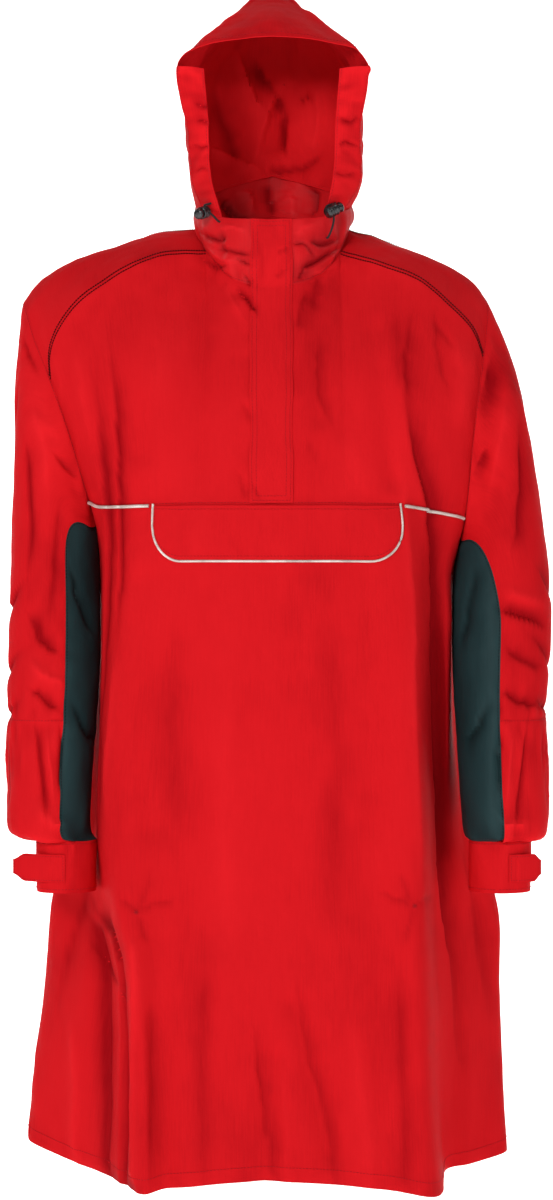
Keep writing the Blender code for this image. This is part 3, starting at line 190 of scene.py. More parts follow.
# Neck rings: turn phi from the front in degrees and the height there
PHI_YOKE_FRONT, PHI_YOKE_BACK = 62, 88
NECKLINE = dict(half_width=0.088, front=0.100, back=0.082)
NECKLINE_Z = ((0, -0.080), (30, -0.068), (62, -0.030), (88, 0.003), (120, 0.018), (180, 0.032))
COLLAR_TOP = dict(half_width=0.092, front=0.096, back=0.086)
COLLAR_TOP_Z = ((0, 0.000), (40, 0.007), (62, 0.018), (90, 0.032), (135, 0.062), (180, 0.085))
RIGHT_NECK_SCALE = 1.04
COLLAR_BELLY = 0.004

# Yoke seams between neck and armhole: x, y, z
YOKE_FRONT_SEAM = {
    LEFT: ((0.133, -0.066, -0.035), (0.189, -0.076, -0.064), (0.236, -0.076, -0.102),
           (0.2585, -0.071, -0.142)),
    RIGHT: ((0.135, -0.068, -0.050), (0.172, -0.073, -0.065), (0.210, -0.070, -0.096),
            (0.237, -0.062, -0.124)),
}
YOKE_BACK_SEAM = {
    LEFT: ((0.140, 0.020, 0.000), (0.210, 0.044, -0.033), (0.256, 0.055, -0.075)),
    RIGHT: ((0.130, 0.020, -0.006), (0.190, 0.042, -0.036), (0.226, 0.053, -0.072)),
}
CENTRE_FRONT = ((-0.143, -0.270), (-0.127, -0.180), (-0.110, -0.120))   # y, z below the neckline
CHEST_BULGE = 0.012
BACK_BULGE = 0.036
NECK_FADE = 3.0           # how fast the scoop at the neck dies away down the back
YOKE_FADE = 1.8
BACK_FADE = 3.0           # how fast the armholes' curve dies away across the back

# Large folds: front (-1) or back (1), from x, z to x, z, half width, push out (+) or in (-)
FOLDS = (
    (-1, -0.004, -0.960, -0.008, -1.100, 0.016, -0.007),
    (-1, 0.030, -0.900, 0.066, -1.060, 0.014, -0.006),
    (-1, 0.096, -0.820, 0.120, -1.100, 0.026, 0.006),
    (-1, -0.076, -0.860, -0.092, -1.100, 0.028, 0.006),
    (-1, -0.150, -0.420, -0.136, -0.700, 0.016, -0.005),
    (-1, 0.052, -0.100, 0.056, -0.230, 0.013, -0.005),
    (-1, 0.120, -0.130, 0.140, -0.300, 0.016, -0.006),
    (-1, -0.120, -0.110, -0.150, -0.270, 0.018, -0.005),
    (-1, -0.045, -0.085, -0.075, -0.055, 0.010, -0.005),
    (-1, 0.045, -0.085, 0.070, -0.055, 0.010, -0.005),
    (1, -0.120, -0.250, -0.135, -1.110, 0.034, -0.014),
    (1, -0.030, -0.420, -0.022, -1.110, 0.036, 0.010),
    (1, 0.062, -0.330, 0.080, -1.110, 0.032, -0.013),
    (1, 0.160, -0.600, 0.168, -1.110, 0.026, 0.009),
    (1, -0.170, -0.640, -0.185, -1.110, 0.022, 0.008),
    (1, 0.010, -0.060, 0.020, -0.260, 0.030, -0.006),
)

# Sleeves: drop below the neck, outer x, inner x, y of the middle, half depth
SLEEVE = {
    LEFT: (
        (0.084, 0.298, 0.206, 0.002, 0.070), (0.140, 0.302, 0.206, 0.000, 0.074),
        (0.200, 0.307, 0.206, 0.000, 0.076), (0.300, 0.310, 0.208, -0.002, 0.073),
        (0.400, 0.311, 0.2065, -0.012, 0.067), (0.480, 0.314, 0.2045, -0.024, 0.063),
        (0.580, 0.3125, 0.2075, -0.045, 0.060), (0.660, 0.309, 0.2125, -0.062, 0.056),
        (0.716, 0.304, 0.2115, -0.071, 0.051),
    ),
    RIGHT: (
        (0.080, 0.258, 0.224, 0.002, 0.070), (0.140, 0.283, 0.224, 0.000, 0.074),
        (0.200, 0.300, 0.224, 0.000, 0.076), (0.300, 0.317, 0.226, -0.002, 0.073),
        (0.380, 0.328, 0.2195, -0.010, 0.069), (0.450, 0.333, 0.2160, -0.020, 0.065),
        (0.580, 0.3245, 0.2170, -0.045, 0.060), (0.660, 0.3225, 0.2215, -0.062, 0.056),
        (0.716, 0.3185, 0.2275, -0.071, 0.051),
    ),
}
# Rings that a sleeve runs through below its armhole: share s, height, outer side raised by
SLEEVE_RINGS = (
    (0.22, -0.300, 0.105), (0.42, -0.445, 0.040), (ELBOW_S, -0.580, 0.000),
    (0.86, -0.660, 0.000), (0.955, -0.716, 0.000),
)
CUFF = {LEFT: (0.2403, 0.0345), RIGHT: (0.2665, 0.0355)}       # middle x, half width
TAB_REACH = {LEFT: 0.050, RIGHT: 0.032}                        # length that stands off the cuff
TAB_START_V = {LEFT: 92, RIGHT: 78}
TAB_LEAVE_V = 60                                               # the tab stands off from here
V_UNDER = {LEFT: 110, RIGHT: 97}                               # front edge of the dark panel
V_UNDER_BACK = -110
UNDER_OPENS = {LEFT: 0.30, RIGHT: 0.46}       # share of the sleeve where it reaches full width

# Hood arches from face to nape. foot_phi is on the collar's top; then x y z of the low cheek,
# high cheek, corner (edge of the middle panel) and brow, and y z of the ridge
HOOD = (
    (62, 0.094, -0.060, 0.050, 0.100, -0.090, 0.107, 0.1095, -0.118, 0.174,
     0.0757, -0.126, 0.197, -0.130, 0.2065),
    (80, 0.097, -0.020, 0.060, 0.103, -0.040, 0.130, 0.086, -0.075, 0.204,
     0.050, -0.082, 0.226, -0.085, 0.238),
    (95, 0.096, 0.020, 0.080, 0.098, 0.005, 0.165, 0.055, -0.020, 0.243,
     0.028, -0.022, 0.262, -0.022, 0.268),
    (105, 0.092, 0.050, 0.100, 0.086, 0.050, 0.198, 0.0245, 0.030, 0.283,
     0.012, 0.030, 0.2865, 0.030, 0.288),
    (117, 0.083, 0.076, 0.112, 0.071, 0.096, 0.190, 0.034, 0.105, 0.237,
     0.018, 0.109, 0.240, 0.110, 0.241),
    (128, 0.073, 0.084, 0.104, 0.059, 0.103, 0.138, 0.038, 0.115, 0.152,
     0.020, 0.119, 0.154, 0.120, 0.154),
)
HOOD_CHEEK = {LEFT: (0.0, 0.0), RIGHT: (0.010, 0.004)}     # low and high cheek stand out further
HOOD_STATIONS = (0.0, 0.20, 0.38, 0.52, 0.70, 0.85, 1.0)
CROWN_S = 0.52
NAPE_PHI = (140, 146, 151, 157, 168, 180)      # foot, low, high, corner, brow, ridge
HOOD_KNOTS = (1.0, 0.80, 0.60, 0.38, 0.18, 0.0)
CORNER = 0.38
# Inner edge of the drawcord channel, from its foot on the collar up to the peak: x y z
CHANNEL_FOOT_PHI = 40
CHANNEL_EDGE = ((0.0705, -0.095, 0.045), (0.0740, -0.112, 0.115), (0.0780, -0.123, 0.170))

# Where the cord goes back in at the collar: turn phi, share of the collar's height
CORD_FOOT = {LEFT: (-41, 0.90), RIGHT: (41, 0.60)}

# Cord locks: middle, direction of the button, outside the hood's foot
LOCK = {
    LEFT: ((-0.0802, -0.0700, 0.0126), (-0.42, -0.86, -0.28)),
    RIGHT: ((0.0695, -0.0842, 0.0121), (0.80, 0.40, 0.42)),
}
LOCK_RADIUS = 0.0072
LOCK_LENGTH = 0.0150
LOCK_BORE = 0.0052
LOCK_FLOOR = 0.0030
LOCK_GAP = 0.0040        # under the button's head, a little more than its travel
BUTTON_STEM = 0.0049
BUTTON_HEAD = 0.0062
BUTTON_HEIGHT = 0.0040

TAB_HALF, TAB_TAPER = 0.0160, 0.0075
PLACKET_EDGES = (-0.0250, 0.0240)
CORD_PLACE = (7, 8)       # row and column of a face channel where its cord comes out

# What the sewn cloth adds to the solids' forms
CLOTH_WALL, FLAP_WALL, TAB_WALL = 0.0008, 0.0009, 0.0012
HOOD_SEWN_IN = 0.0012                     # the hood's foot stands this far inside the collar
CHANNEL_BOW = 0.004                       # a face channel stands forward in its middle
CHANNEL_SEWN_IN = (0, 0.0008, -0.003)     # and its foot goes back and down into the collar
SHEET_LAP = 0.0002                        # laid cloth is thinner than its solid, so lies lower
PLACKET_PITCH = 0.026                     # waves along the storm flap's edges
PLACKET_WAVE, PLACKET_SWAY = 0.0009, 0.0011
PLACKET_PUFF = 0.0009                     # its middle stands out by this
PLACKET_HEMMED = 0.002                    # its lower end stops short of the chest seam
FLAP_CURL = 0.0006
TAB_BOW = 0.0030
# Span of push over which the painted fold shade runs from dark to light
FOLD_SHADE_RANGE = 0.009                       # push from the deepest trough to the highest crest
CHEST_PIPING_SWELL, FLAP_PIPING_SWELL = 1.55, 1.15      # piping's radius over the solids'
INLET_SET_BACK = 0.0040                   # the cord enters the barrel away from the button
TACKS = ((137.0, 911.0), (414.0, 907.0))  # stars that hold the pocket bag, in picture points
TACK_ARM, TACK_STITCH = 0.0042, (0.0078, 0.0004, 0.00042)


class View(Enum):
    """From where the course of a crease is given, and in which units."""

    PICTURE = "picture points of the camera's view"
    INSIDE = "picture points, on cloth that shows its inner side"
    BEHIND = "millimetres x, z seen from behind"
    LEFT_SIDE = "millimetres y, z seen from the left"
    RIGHT_SIDE = "millimetres y, z seen from the right"


class Edge(Enum):
    """The four edges of a grid of rows and columns."""

    TOP = "first row"
    BOTTOM = "last row"
    START = "first column"
    END = "last column"


@dataclass(frozen=True)
class Crease:
    """A trough or ridge, its half width and push in millimetres.

    `lean` above 0 makes one flank steeper. The course holds pairs in the view's units.
    """

    view: View
    zone: str
    width: float
    push: float
    lean: float
    course: tuple[float, ...]


# Gathers along the edges of each kind of piece: edge, height, pitch and reach in millimetres
PUCKERS = {
    "chest": ((Edge.BOTTOM, 0.6, 17, 9), (Edge.TOP, 0.5, 13, 7), (Edge.END, 0.5, 18, 10),
              (Edge.START, 0.8, 15, 9)),
    "yoke": ((Edge.TOP, 0.5, 16, 8), (Edge.BOTTOM, 0.5, 16, 8), (Edge.START, 1.0, 13, 11),
             (Edge.END, 0.6, 17, 9)),
    "front_lower": ((Edge.TOP, 0.5, 13, 8), (Edge.BOTTOM, 0.9, 19, 10), (Edge.START, 0.5, 21, 8),
                    (Edge.END, 0.5, 21, 8)),
    "back": ((Edge.TOP, 0.9, 19, 10), (Edge.BOTTOM, 0.7, 15, 9), (Edge.START, 0.5, 21, 8),
             (Edge.END, 0.5, 21, 8)),
    "collar": ((Edge.TOP, 2.6, 12, 15), (Edge.BOTTOM, 1.6, 15, 11)),
    "sleeve_upper": ((Edge.TOP, 1.3, 17, 15), (Edge.BOTTOM, 2.0, 9, 15), (Edge.START, 0.6, 14, 7),
                     (Edge.END, 0.6, 14, 7)),
    "sleeve_lower": ((Edge.TOP, 2.4, 8, 17), (Edge.BOTTOM, 3.4, 11, 17), (Edge.START, 0.7, 12, 7),
                     (Edge.END, 0.7, 12, 7)),
    "sleeve_under": ((Edge.TOP, 1.0, 15, 12), (Edge.BOTTOM, 2.8, 12, 15),
                     (Edge.START, 0.7, 13, 8), (Edge.END, 0.7, 13, 8)),
    "cuff": ((Edge.TOP, 0.8, 8, 8), (Edge.BOTTOM, 0.5, 9, 5)),
    "hood_side": ((Edge.TOP, 0.9, 13, 9), (Edge.BOTTOM, 1.2, 12, 11), (Edge.START, 0.5, 14, 7),
                  (Edge.END, 1.0, 12, 9)),
    "hood_peak": ((Edge.TOP, 0.5, 22, 10), (Edge.BOTTOM, 0.5, 15, 7), (Edge.START, 0.4, 14, 6),
                  (Edge.END, 0.4, 14, 6)),
    "hood_centre": ((Edge.TOP, 0.5, 15, 7), (Edge.BOTTOM, 0.9, 12, 9), (Edge.START, 0.4, 14, 6),
                    (Edge.END, 0.4, 14, 6)),
    "hood_channel": ((Edge.START, 1.5, 8, 10), (Edge.END, 1.6, 7, 9)),
}

# Creases by view and zone: half width, push, lean, then the course as pairs
CREASES = [Crease(view, zone, *row[:3], row[3:]) for view, zone, rows in (
    (View.PICTURE, "body", (
        # neck and collar, front
        (2.7, -5.2, 0.3, 200, 233, 214, 240, 228, 238),
        (2.2, -4.2, 0.3, 214, 248, 233, 252, 251, 256),
        (2.2, -3.7, 0.2, 199, 256, 215, 267, 232, 264),
        (2.7, 3, 0, 205, 246, 222, 259, 238, 259),
        (1.8, -3, 0.2, 235, 256, 243, 262, 252, 266),
        (1.8, -3, 0, 243, 273, 247, 280, 251, 287),
        (2.4, -5.8, 0.4, 236, 288, 247, 302, 257, 315),
        (3.8, 3, 0, 224, 282, 232, 298, 243, 322),
        (2.7, -5.2, 0.3, 310, 240, 324, 245, 340, 239),
        (2.4, -5.4, 0.5, 301, 269, 322, 261, 342, 247),
        (3.5, 2.8, 0, 312, 274, 328, 269, 345, 259),
        (1.9, -3.4, 0.2, 290, 243, 306, 244, 317, 258),
        (1.5, -2.8, 0, 299, 280, 303, 274, 305, 267),
        (1.5, -1.8, 0, 273, 279, 280, 274, 288, 268),
        (1.5, -1.6, 0, 277, 253, 284, 250, 291, 247),
        (3, -1.8, 0, 255, 235, 262, 262, 259, 290),
        (2.4, 2.6, 0, 298, 236, 303, 228, 320, 222),
        (2.4, 2.6, 0, 216, 230, 232, 226, 246, 233),
        # chest
        (5.8, -2.7, 0.2, 322, 274, 317, 292, 312, 312),
        (5.2, -2.8, 0.3, 310, 288, 302, 308, 298, 334),
        (4.6, -2.3, 0.4, 320, 326, 319, 364, 322, 400, 336, 430),
        (6.9, -2.3, 0, 396, 300, 398, 345, 399, 402),
        (4.8, -2.7, 0.4, 414, 305, 407, 340, 406, 375, 411, 410),
        (4.2, -2.1, 0.3, 434, 300, 438, 352, 450, 396),
        (3.5, -1.7, 0, 435, 318, 445, 336, 455, 348),
        (13.7, 2.8, 0, 452, 322, 462, 380, 458, 440),
        (5.2, -1.1, 0, 303, 440, 312, 448, 318, 464),
        (10.4, 1.5, 0, 345, 430, 360, 470, 366, 500),
        (6.9, 2.3, 0, 74, 340, 82, 390, 92, 450),
        (2.9, -1.5, 0, 242, 402, 248, 412, 252, 424),
        (10.4, 1.5, 0, 150, 300, 160, 350, 158, 420),
        (9.3, -1.2, 0, 215, 320, 205, 360, 208, 420),
        (3.5, -1.5, 0, 236, 470, 243, 486, 247, 503),
        (2.8, -1.7, 0, 252, 483, 256, 491, 261, 500),
        # folds that run on from the chest into the lower front
        (7.5, -9, 0.5, 404, 360, 412, 420, 421, 470, 430, 510, 432, 600, 434, 700, 438, 800, 440,
         880, 450, 955, 458, 1060),
        (7, 3.4, 0, 396, 420, 404, 500, 412, 620, 414, 720, 420, 850, 426, 960),
        (4.2, -4.2, 0.5, 105, 320, 113, 380, 118, 440, 119, 507, 120, 560, 118, 605, 115, 650),
        (6.5, -5, 0.3, 92, 360, 100, 432, 106, 500, 108, 560, 104, 650, 99, 740, 100, 860),
        # lower front
        (5, 4.6, 0, 127, 930, 134, 965, 133, 1080, 132, 1240),
        (6.5, -11, 0.4, 94, 905, 118, 960, 123, 1100, 119, 1240),
        (10, -9, 0, 84, 910, 103, 960, 105, 1100, 99, 1240),
        (7, 4, 0, 68, 1010, 76, 1090, 70, 1240),
        (5, -3, 0.5, 88, 940, 104, 964, 122, 990),
        (8, -2.4, 0, 150, 990, 153, 1060, 150, 1240),
        (4.4, -2.4, 0.5, 252, 1010, 261, 1081, 268, 1130, 278, 1240),
        (6, 1.8, 0, 282, 1060, 286, 1130, 296, 1240),
        (4.6, -2.2, 0.5, 292, 960, 311, 1062, 325, 1112, 345, 1240),
        (9, 2.2, 0, 352, 1000, 362, 1100, 380, 1240),
        (6.5, -2.4, 0.2, 398, 960, 402, 1080, 410, 1240),
        (9, -1.8, 0, 206, 940, 202, 1070, 208, 1240),
        (15, 1.8, 0, 230, 640, 224, 800, 228, 960),
        (15, -1.8, 0, 326, 600, 338, 760, 334, 960),
        (13, -1.6, 0, 180, 580, 172, 700, 178, 880),
        (6.9, 2.8, 0, 116, 640, 113, 700, 107, 760, 106, 830),
        (3.2, -1.7, 0, 137, 911, 128, 904, 117, 899),
        (3.2, -1.9, 0, 137, 911, 158, 903, 178, 899),
        (3.5, -1.7, 0, 137, 911, 142, 928, 150, 950),
        (3.5, -1.4, 0, 137, 911, 147, 890, 150, 868),
        (3.2, -1.7, 0, 414, 907, 425, 899, 436, 895),
        (3.2, -1.9, 0, 414, 907, 396, 898, 376, 894),
        (3.5, -1.7, 0, 414, 907, 409, 926, 402, 948),
        (3.5, -1.4, 0, 414, 907, 405, 886, 400, 866),
        (5.8, 0.8, 0, 185, 522, 196, 540, 204, 556),
        (3.5, -0.7, 0, 228, 535, 234, 545, 243, 558),
        # peak: its slopes stand out to the tips
        (10, 5, 0, 250, 6, 232, 20, 214, 34, 194, 52),
        (10, 5.5, 0, 294, 6, 316, 20, 340, 38, 368, 58),
        (3.4, 2.5, 0, 188, 56, 181, 64, 182, 76),
        (3.4, 4, 0, 364, 52, 373, 64, 371, 77),
        # face channels
        (2.3, -3.8, 0, 192, 102, 203, 107, 210, 104),
        (2.3, -3.5, 0, 192, 124, 203, 121, 210, 126),
        (2.3, -3.5, 0, 190, 146, 202, 148, 209, 143),
        (2.3, -3.2, 0, 193, 172, 202, 168, 209, 172),
        (2.3, -3.8, 0, 340, 118, 350, 122, 364, 118),
        (2.3, -3.8, 0, 338, 146, 348, 142, 363, 148),
        (2.3, -3.5, 0, 334, 172, 346, 176, 362, 170),
    )),
    (View.LEFT_SIDE, "body", (
        # lower front
        (20, 14, 0, 0, -290, 8, -380, 22, -480, 32, -580, 26, -680, 4, -790),
        # hood, outer sides
        (6.9, -2.5, 0.3, -100, 95, -60, 120, -10, 118),
        (5.8, -2.8, 0.3, -70, 62, -30, 92, 30, 104),
        (10.4, 2.5, 0, -20, 200, 20, 180, 60, 140),
        (6.9, -2.3, 0, 0, 84, 30, 120, 40, 170),
        # back
        (9.3, -2.8, 0.3, -20, -560, -10, -740, -24, -960),
        (10.4, 2.8, 0, 50, -700, 44, -860, 52, -1080),
    )),
    (View.RIGHT_SIDE, "body", (
        # lower front
        (20, 13, 0, 0, -280, 8, -380, 22, -480, 34, -580, 30, -680, 8, -790),
        # hood, outer sides
        (6.9, -2.7, 0.3, -96, 110, -50, 106, 0, 96),
        (5.8, -2.8, 0.3, -60, 66, -20, 84, 36, 124),
        (10.4, 2.3, 0, -60, 180, -10, 200, 40, 180),
        (6.9, -2.3, 0, 20, 90, 46, 130, 50, 176),
        # back
        (9.3, -2.8, 0.3, 10, -600, 0, -760, 12, -980),
        (10.4, 2.8, 0, 60, -660, 66, -860, 58, -1090),
    )),
    (View.PICTURE, "sleeve_left", (
        # sleeves, front
        (3.7, -4.6, 0.3, 22, 336, 30, 358, 42, 376),
        (6.6, 4.3, 0, 30, 400, 44, 440, 48, 500),
        (4.9, -4.6, 0.3, 24, 430, 30, 500, 28, 580),
        (3.3, -4.3, 0.3, 52, 450, 68, 470, 84, 478),
        (4.9, -3.5, 0, 60, 500, 56, 560, 50, 620),
        (5.3, -5.2, 0.4, 26, 610, 42, 640, 62, 655),
        (4.5, 4.3, 0, 30, 660, 46, 676, 66, 684),
        (3.7, -5.5, 0.3, 28, 685, 44, 700, 64, 712),
        (3, -4.9, 0.2, 34, 718, 41, 768, 48, 828),
        (3, 3.5, 0, 45, 724, 50, 764, 54, 806),
        (3, -4.1, 0, 60, 722, 62, 758, 60, 800),
        (3.7, 4.9, 0, 36, 806, 52, 822, 70, 826),
        (4.1, -4.3, 0.3, 70, 560, 80, 600, 96, 640),
        (3.7, -4.6, 0.3, 72, 700, 84, 730, 98, 742),
    )),
    (View.PICTURE, "sleeve_right", (
        # sleeves, front
        (5.3, -7.8, 0.4, 494, 352, 484, 390, 473, 420),
        (4.1, -5.5, 0.3, 489, 446, 478, 466, 467, 488),
        (7.4, 4.6, 0, 508, 380, 500, 440, 486, 500),
        (5.3, -4.3, 0.3, 520, 420, 522, 490, 514, 560),
        (4.1, -6.4, 0.5, 497, 609, 522, 616, 549, 627),
        (5.3, 4.1, 0, 500, 592, 524, 598, 549, 604),
        (5.3, -4.3, 0.3, 504, 645, 524, 660, 546, 668),
        (4.1, -5.2, 0.3, 500, 690, 520, 702, 546, 708),
        (3, -4.9, 0.2, 530, 712, 522, 776, 515, 838),
        (3, -3.8, 0, 501, 722, 498, 762, 496, 806),
        (3, 3.5, 0, 514, 722, 510, 764, 506, 806),
        (3.7, 4.9, 0, 494, 812, 512, 826, 532, 824),
        (4.1, -4.3, 0.3, 474, 560, 468, 610, 460, 650),
        (3.7, -4.6, 0.3, 488, 700, 476, 728, 462, 742),
    )),
    (View.INSIDE, "body", (
        # inside of the hood and neck
        (5, -8.5, 0.4, 236, 52, 245, 76, 254, 98, 268, 120),
        (6, 7, 0.3, 252, 58, 262, 78, 276, 96, 284, 116),
        (6, -8, 0.4, 304, 74, 282, 88, 269, 108, 263, 135, 250, 164),
        (3.5, 6.5, 0.2, 287, 112, 284, 134, 286, 158),
        (9, 4, 0.2, 214, 84, 222, 118, 234, 150, 228, 184),
        (6, -6, 0.3, 204, 148, 226, 156, 246, 166, 272, 173),
        (6, 5, 0, 258, 174, 285, 170, 310, 163, 328, 148),
        (9, -7, 0.3, 312, 88, 320, 118, 312, 152),
        (3.3, 4.5, 0, 297, 101, 306, 99, 317, 103),
        (3.6, 6, 0.2, 268, 183, 270, 200, 274, 217),
        (4, 7.5, 0.3, 221, 195, 233, 213, 252, 226),
        (4, 6, 0.3, 308, 186, 318, 202, 308, 222),
        (6, -5, 0.3, 286, 190, 294, 204, 290, 220),
        (5, -5, 0.3, 242, 186, 250, 200, 256, 218),
    )),
    (View.BEHIND, "body", (
        # hood, outer sides
        (5.8, -2.5, 0.2, -26, 92, -18, 120, -24, 160),
        (5.8, -2.5, 0.2, 22, 90, 14, 114, 24, 140),
        (4.6, -2.1, 0, -10, 96, 0, 104, 14, 98),
        # back
        (8, -3.4, 0.4, -60, 14, -84, -30, -100, -90),
        (8, -3.6, 0.4, 56, 12, 78, -26, 112, -80),
        (9.3, 2.8, 0, -30, 20, -34, -40, -52, -120, -60, -180),
        (9.3, -2.8, 0.3, 26, 22, 38, -50, 42, -140),
        (9.3, -3.4, 0.4, -212, -180, -170, -230, -120, -260),
        (9.3, -3.6, 0.4, 210, -170, 172, -216, 140, -268),
        (8, -3, 0.3, -206, -262, -168, -300, -150, -350),
        (8, -3, 0.3, 214, -270, 186, -310, 178, -372),
        (15, 2.8, 0, -4, -200, -16, -330, -10, -520, -14, -700),
        (11.5, -3.2, 0.3, -96, -420, -104, -560, -98, -760),
        (11.5, -3.2, 0.3, 100, -380, 108, -560, 104, -800, 112, -980),
        (13.7, 3, 0, 40, -520, 50, -700, 44, -900, 52, -1110),
        (10.4, -2.8, 0.3, -48, -640, -56, -820, -50, -1110),
        (11.5, 3, 0, -130, -800, -142, -940, -138, -1112),
        (11.5, 2.7, 0, 150, -560, 158, -760, 150, -940),
        (8, -2.7, 0.2, 8, -960, 2, -1040, 10, -1112),
        (8, -2.8, 0.2, 168, -960, 176, -1040, 170, -1110),
        (10.4, -3, 0.3, -176, -700, -186, -860, -178, -1040),
    )),
    (View.LEFT_SIDE, "sleeve_left", (
        # sleeves, outer side and behind
        (5.7, -4.9, 0.3, -40, -180, -10, -240, -14, -330),
        (6.6, 4.3, 0, 20, -160, 30, -260, 14, -360),
        (4.9, -5.2, 0.4, -70, -420, -30, -450, 10, -440),
        (4.9, -4.6, 0.3, -78, -500, -40, -526, 0, -520),
        (4.1, -5.2, 0.3, -90, -560, -50, -576, -14, -564),
        (3.3, -4.6, 0.2, -70, -596, -72, -640, -76, -700),
        (3.3, 4.1, 0, -46, -596, -52, -650, -62, -704),
        (3.3, -4.3, 0.2, -28, -600, -36, -650, -50, -700),
    )),
    (View.RIGHT_SIDE, "sleeve_right", (
        # sleeves, outer side and behind
        (5.7, -4.9, 0.3, -44, -170, -16, -250, -10, -340),
        (6.6, 4.3, 0, 24, -190, 26, -280, 8, -380),
        (4.9, -5.2, 0.4, -66, -400, -24, -440, 14, -450),
        (4.9, -4.6, 0.3, -84, -480, -44, -520, -6, -532),
        (4.1, -5.2, 0.3, -88, -556, -54, -570, -16, -560),
        (3.3, -4.6, 0.2, -76, -598, -74, -650, -80, -704),
        (3.3, 4.1, 0, -50, -598, -56, -650, -64, -700),
        (3.3, -4.3, 0.2, -30, -600, -38, -654, -52, -704),
    )),
    (View.BEHIND, "sleeve_left", (
        # sleeves, outer side and behind
        (5.7, -4.9, 0.3, -296, -180, -270, -260, -262, -340),
        (4.9, -4.9, 0.3, -306, -420, -270, -450, -236, -440),
        (4.1, -4.9, 0.3, -300, -560, -266, -572, -236, -560),
    )),
    (View.BEHIND, "sleeve_right", (
        # sleeves, outer side and behind
        (5.7, -4.9, 0.3, 282, -180, 262, -250, 270, -350),
        (4.9, -4.9, 0.3, 320, -430, 286, -452, 250, -440),
        (4.1, -4.9, 0.3, 312, -560, 280, -574, 246, -562),
    )),
) for row in rows]

# Sample counts along the shared seams
NECK_FRONT, YOKE_LONG, YOKE_WIDE, NECK_BACK, CHEST_HIGH = 35, 50, 36, 70, 72
U_ZIP = 0.0118           # x is ZIP_HALF here
U_NECK = 0.165
NECK_SHARE = 0.16        # half of the neck's share of the back's columns
FLAP_COLUMNS, FLAP_ROWS = 121, 25
SLEEVE_UPPER_ROWS, SLEEVE_LOWER_ROWS = 89, 31


def refined(samples: Sequence[float], times: Sequence[int]) -> Array:
    """Samples with each gap split evenly, so that the given ones stay among them.

    Args:
        samples: the given places.
        times: into how many steps each gap is split.

    Returns:
        All the places in order.
    """
    gaps = [np.linspace(low, high, count, endpoint=False)
            for low, high, count in zip(samples[:-1], samples[1:], times)]
    return np.concatenate([*gaps, [samples[-1]]])


ARM_LOW = refined([180.0, 175, 170, 165, 150], [4] * 4)
ARM_BACK = refined([*np.linspace(V_YOKE_BACK, -163, 9), -170, -175, -180], [8] * 8 + [2] * 3)
SKIRT_ROWS = refined([0.0, 0.03, *np.linspace(0.08, 1, 12)], [6, 10] + [16] * 11)
U_CHEST = np.concatenate([np.linspace(U_ZIP, U_NECK, NECK_FRONT + 1)[:-1],
                          np.linspace(U_NECK, U_WING, YOKE_LONG + 1)])
U_LOW = U_SIDE - (180 - ARM_LOW[::-1]) / (180 - V_CHEST) * (U_SIDE - U_WING)


def smooth_curve(knots: Array, values: Array, at: Array) -> Array:
    """Cubic through values at knots, with the slopes of their central differences.

    Args:
        knots: rising places of the values.
        values: the values, knots along the axis before the last.
        at: places where the curve is read, of any shape if values has two axes.

    Returns:
        The curve's values, with `at` in place of the knots' axis.
    """
    knots = np.asarray(knots, float)
    values = np.asarray(values, float)
    at = np.asarray(at, float)
    slopes = np.gradient(values, knots, axis=-2)
    index = np.clip(np.searchsorted(knots, at, side="right") - 1, 0, len(knots) - 2)
    step = (knots[index + 1] - knots[index])[..., None]
    s = (at - knots[index])[..., None] / step
    start, end = values[..., index, :], values[..., index + 1, :]
    start_slope, end_slope = slopes[..., index, :] * step, slopes[..., index + 1, :] * step
    return ((2 * s**3 - 3 * s**2 + 1) * start + (s**3 - 2 * s**2 + s) * start_slope
            + (3 * s**2 - 2 * s**3) * end + (s**3 - s**2) * end_slope)


def smooth_step(value: Array) -> Array:
    """0 below 0, 1 above 1, and 3 v squared less 2 v cubed between."""
    value = np.clip(value, 0.0, 1.0)
    return value * value * (3 - 2 * value)


def mirrored(points: Array, side: Side) -> Array:
    """The points with their x on the given side."""
    return np.asarray(points, float) * (side, 1, 1)


def unit(vectors: Array) -> Array:
    """The vectors at length 1."""
    return vectors / np.maximum(np.linalg.norm(vectors, axis=-1, keepdims=True), 1e-12)


def run_along(path: Array) -> Array:
    """Distance from the start of a path to each of its points, along axis 0."""
    steps = np.linalg.norm(np.diff(path, axis=0), axis=-1)
    return np.concatenate([np.zeros_like(steps[:1]), np.cumsum(steps, axis=0)])


def arc_share(one: Array, other: Array) -> Array:
    """Mean share of the way along two opposite edges at each of their samples."""
    first, second = run_along(one), run_along(other)
    return (first / first[-1] + second / second[-1]) / 2


def patch(bottom: Array, top: Array, start: Array, end: Array, fade: float = 1.0) -> Array:
    """Patch of rows from bottom to top and columns from the start edge to the end edge.

    Rows run straight from bottom to top, by (1 - b) bottom + b top. How far the start and end
    edges stray from their chords is added times (1 - a) and a to the power `fade`.

    Args:
        bottom: points of the first row.
        top: points of the last row.
        start: points of the first column.
        end: points of the last column.
        fade: how fast the side edges' curve dies away.

    Returns:
        Grid of points.
    """
    a = arc_share(bottom, top)[None, :, None]
    b = arc_share(start, end)[:, None, None]
    ruled = (1 - b) * bottom[None] + b * top[None]
    start_stray = start[:, None] - (1 - b) * bottom[0] - b * top[0]
    end_stray = end[:, None] - (1 - b) * bottom[-1] - b * top[-1]
    return ruled + (1 - a) ** fade * start_stray + a ** fade * end_stray


def seam_curve(start: Array, middle: Array, end: Array, count: int) -> Array:
    """Even samples along a smooth seam through the given points."""
    points = np.vstack([start[None], middle, end[None]])
    knots = run_along(points)
    return smooth_curve(knots, points, np.linspace(0, knots[-1], count))


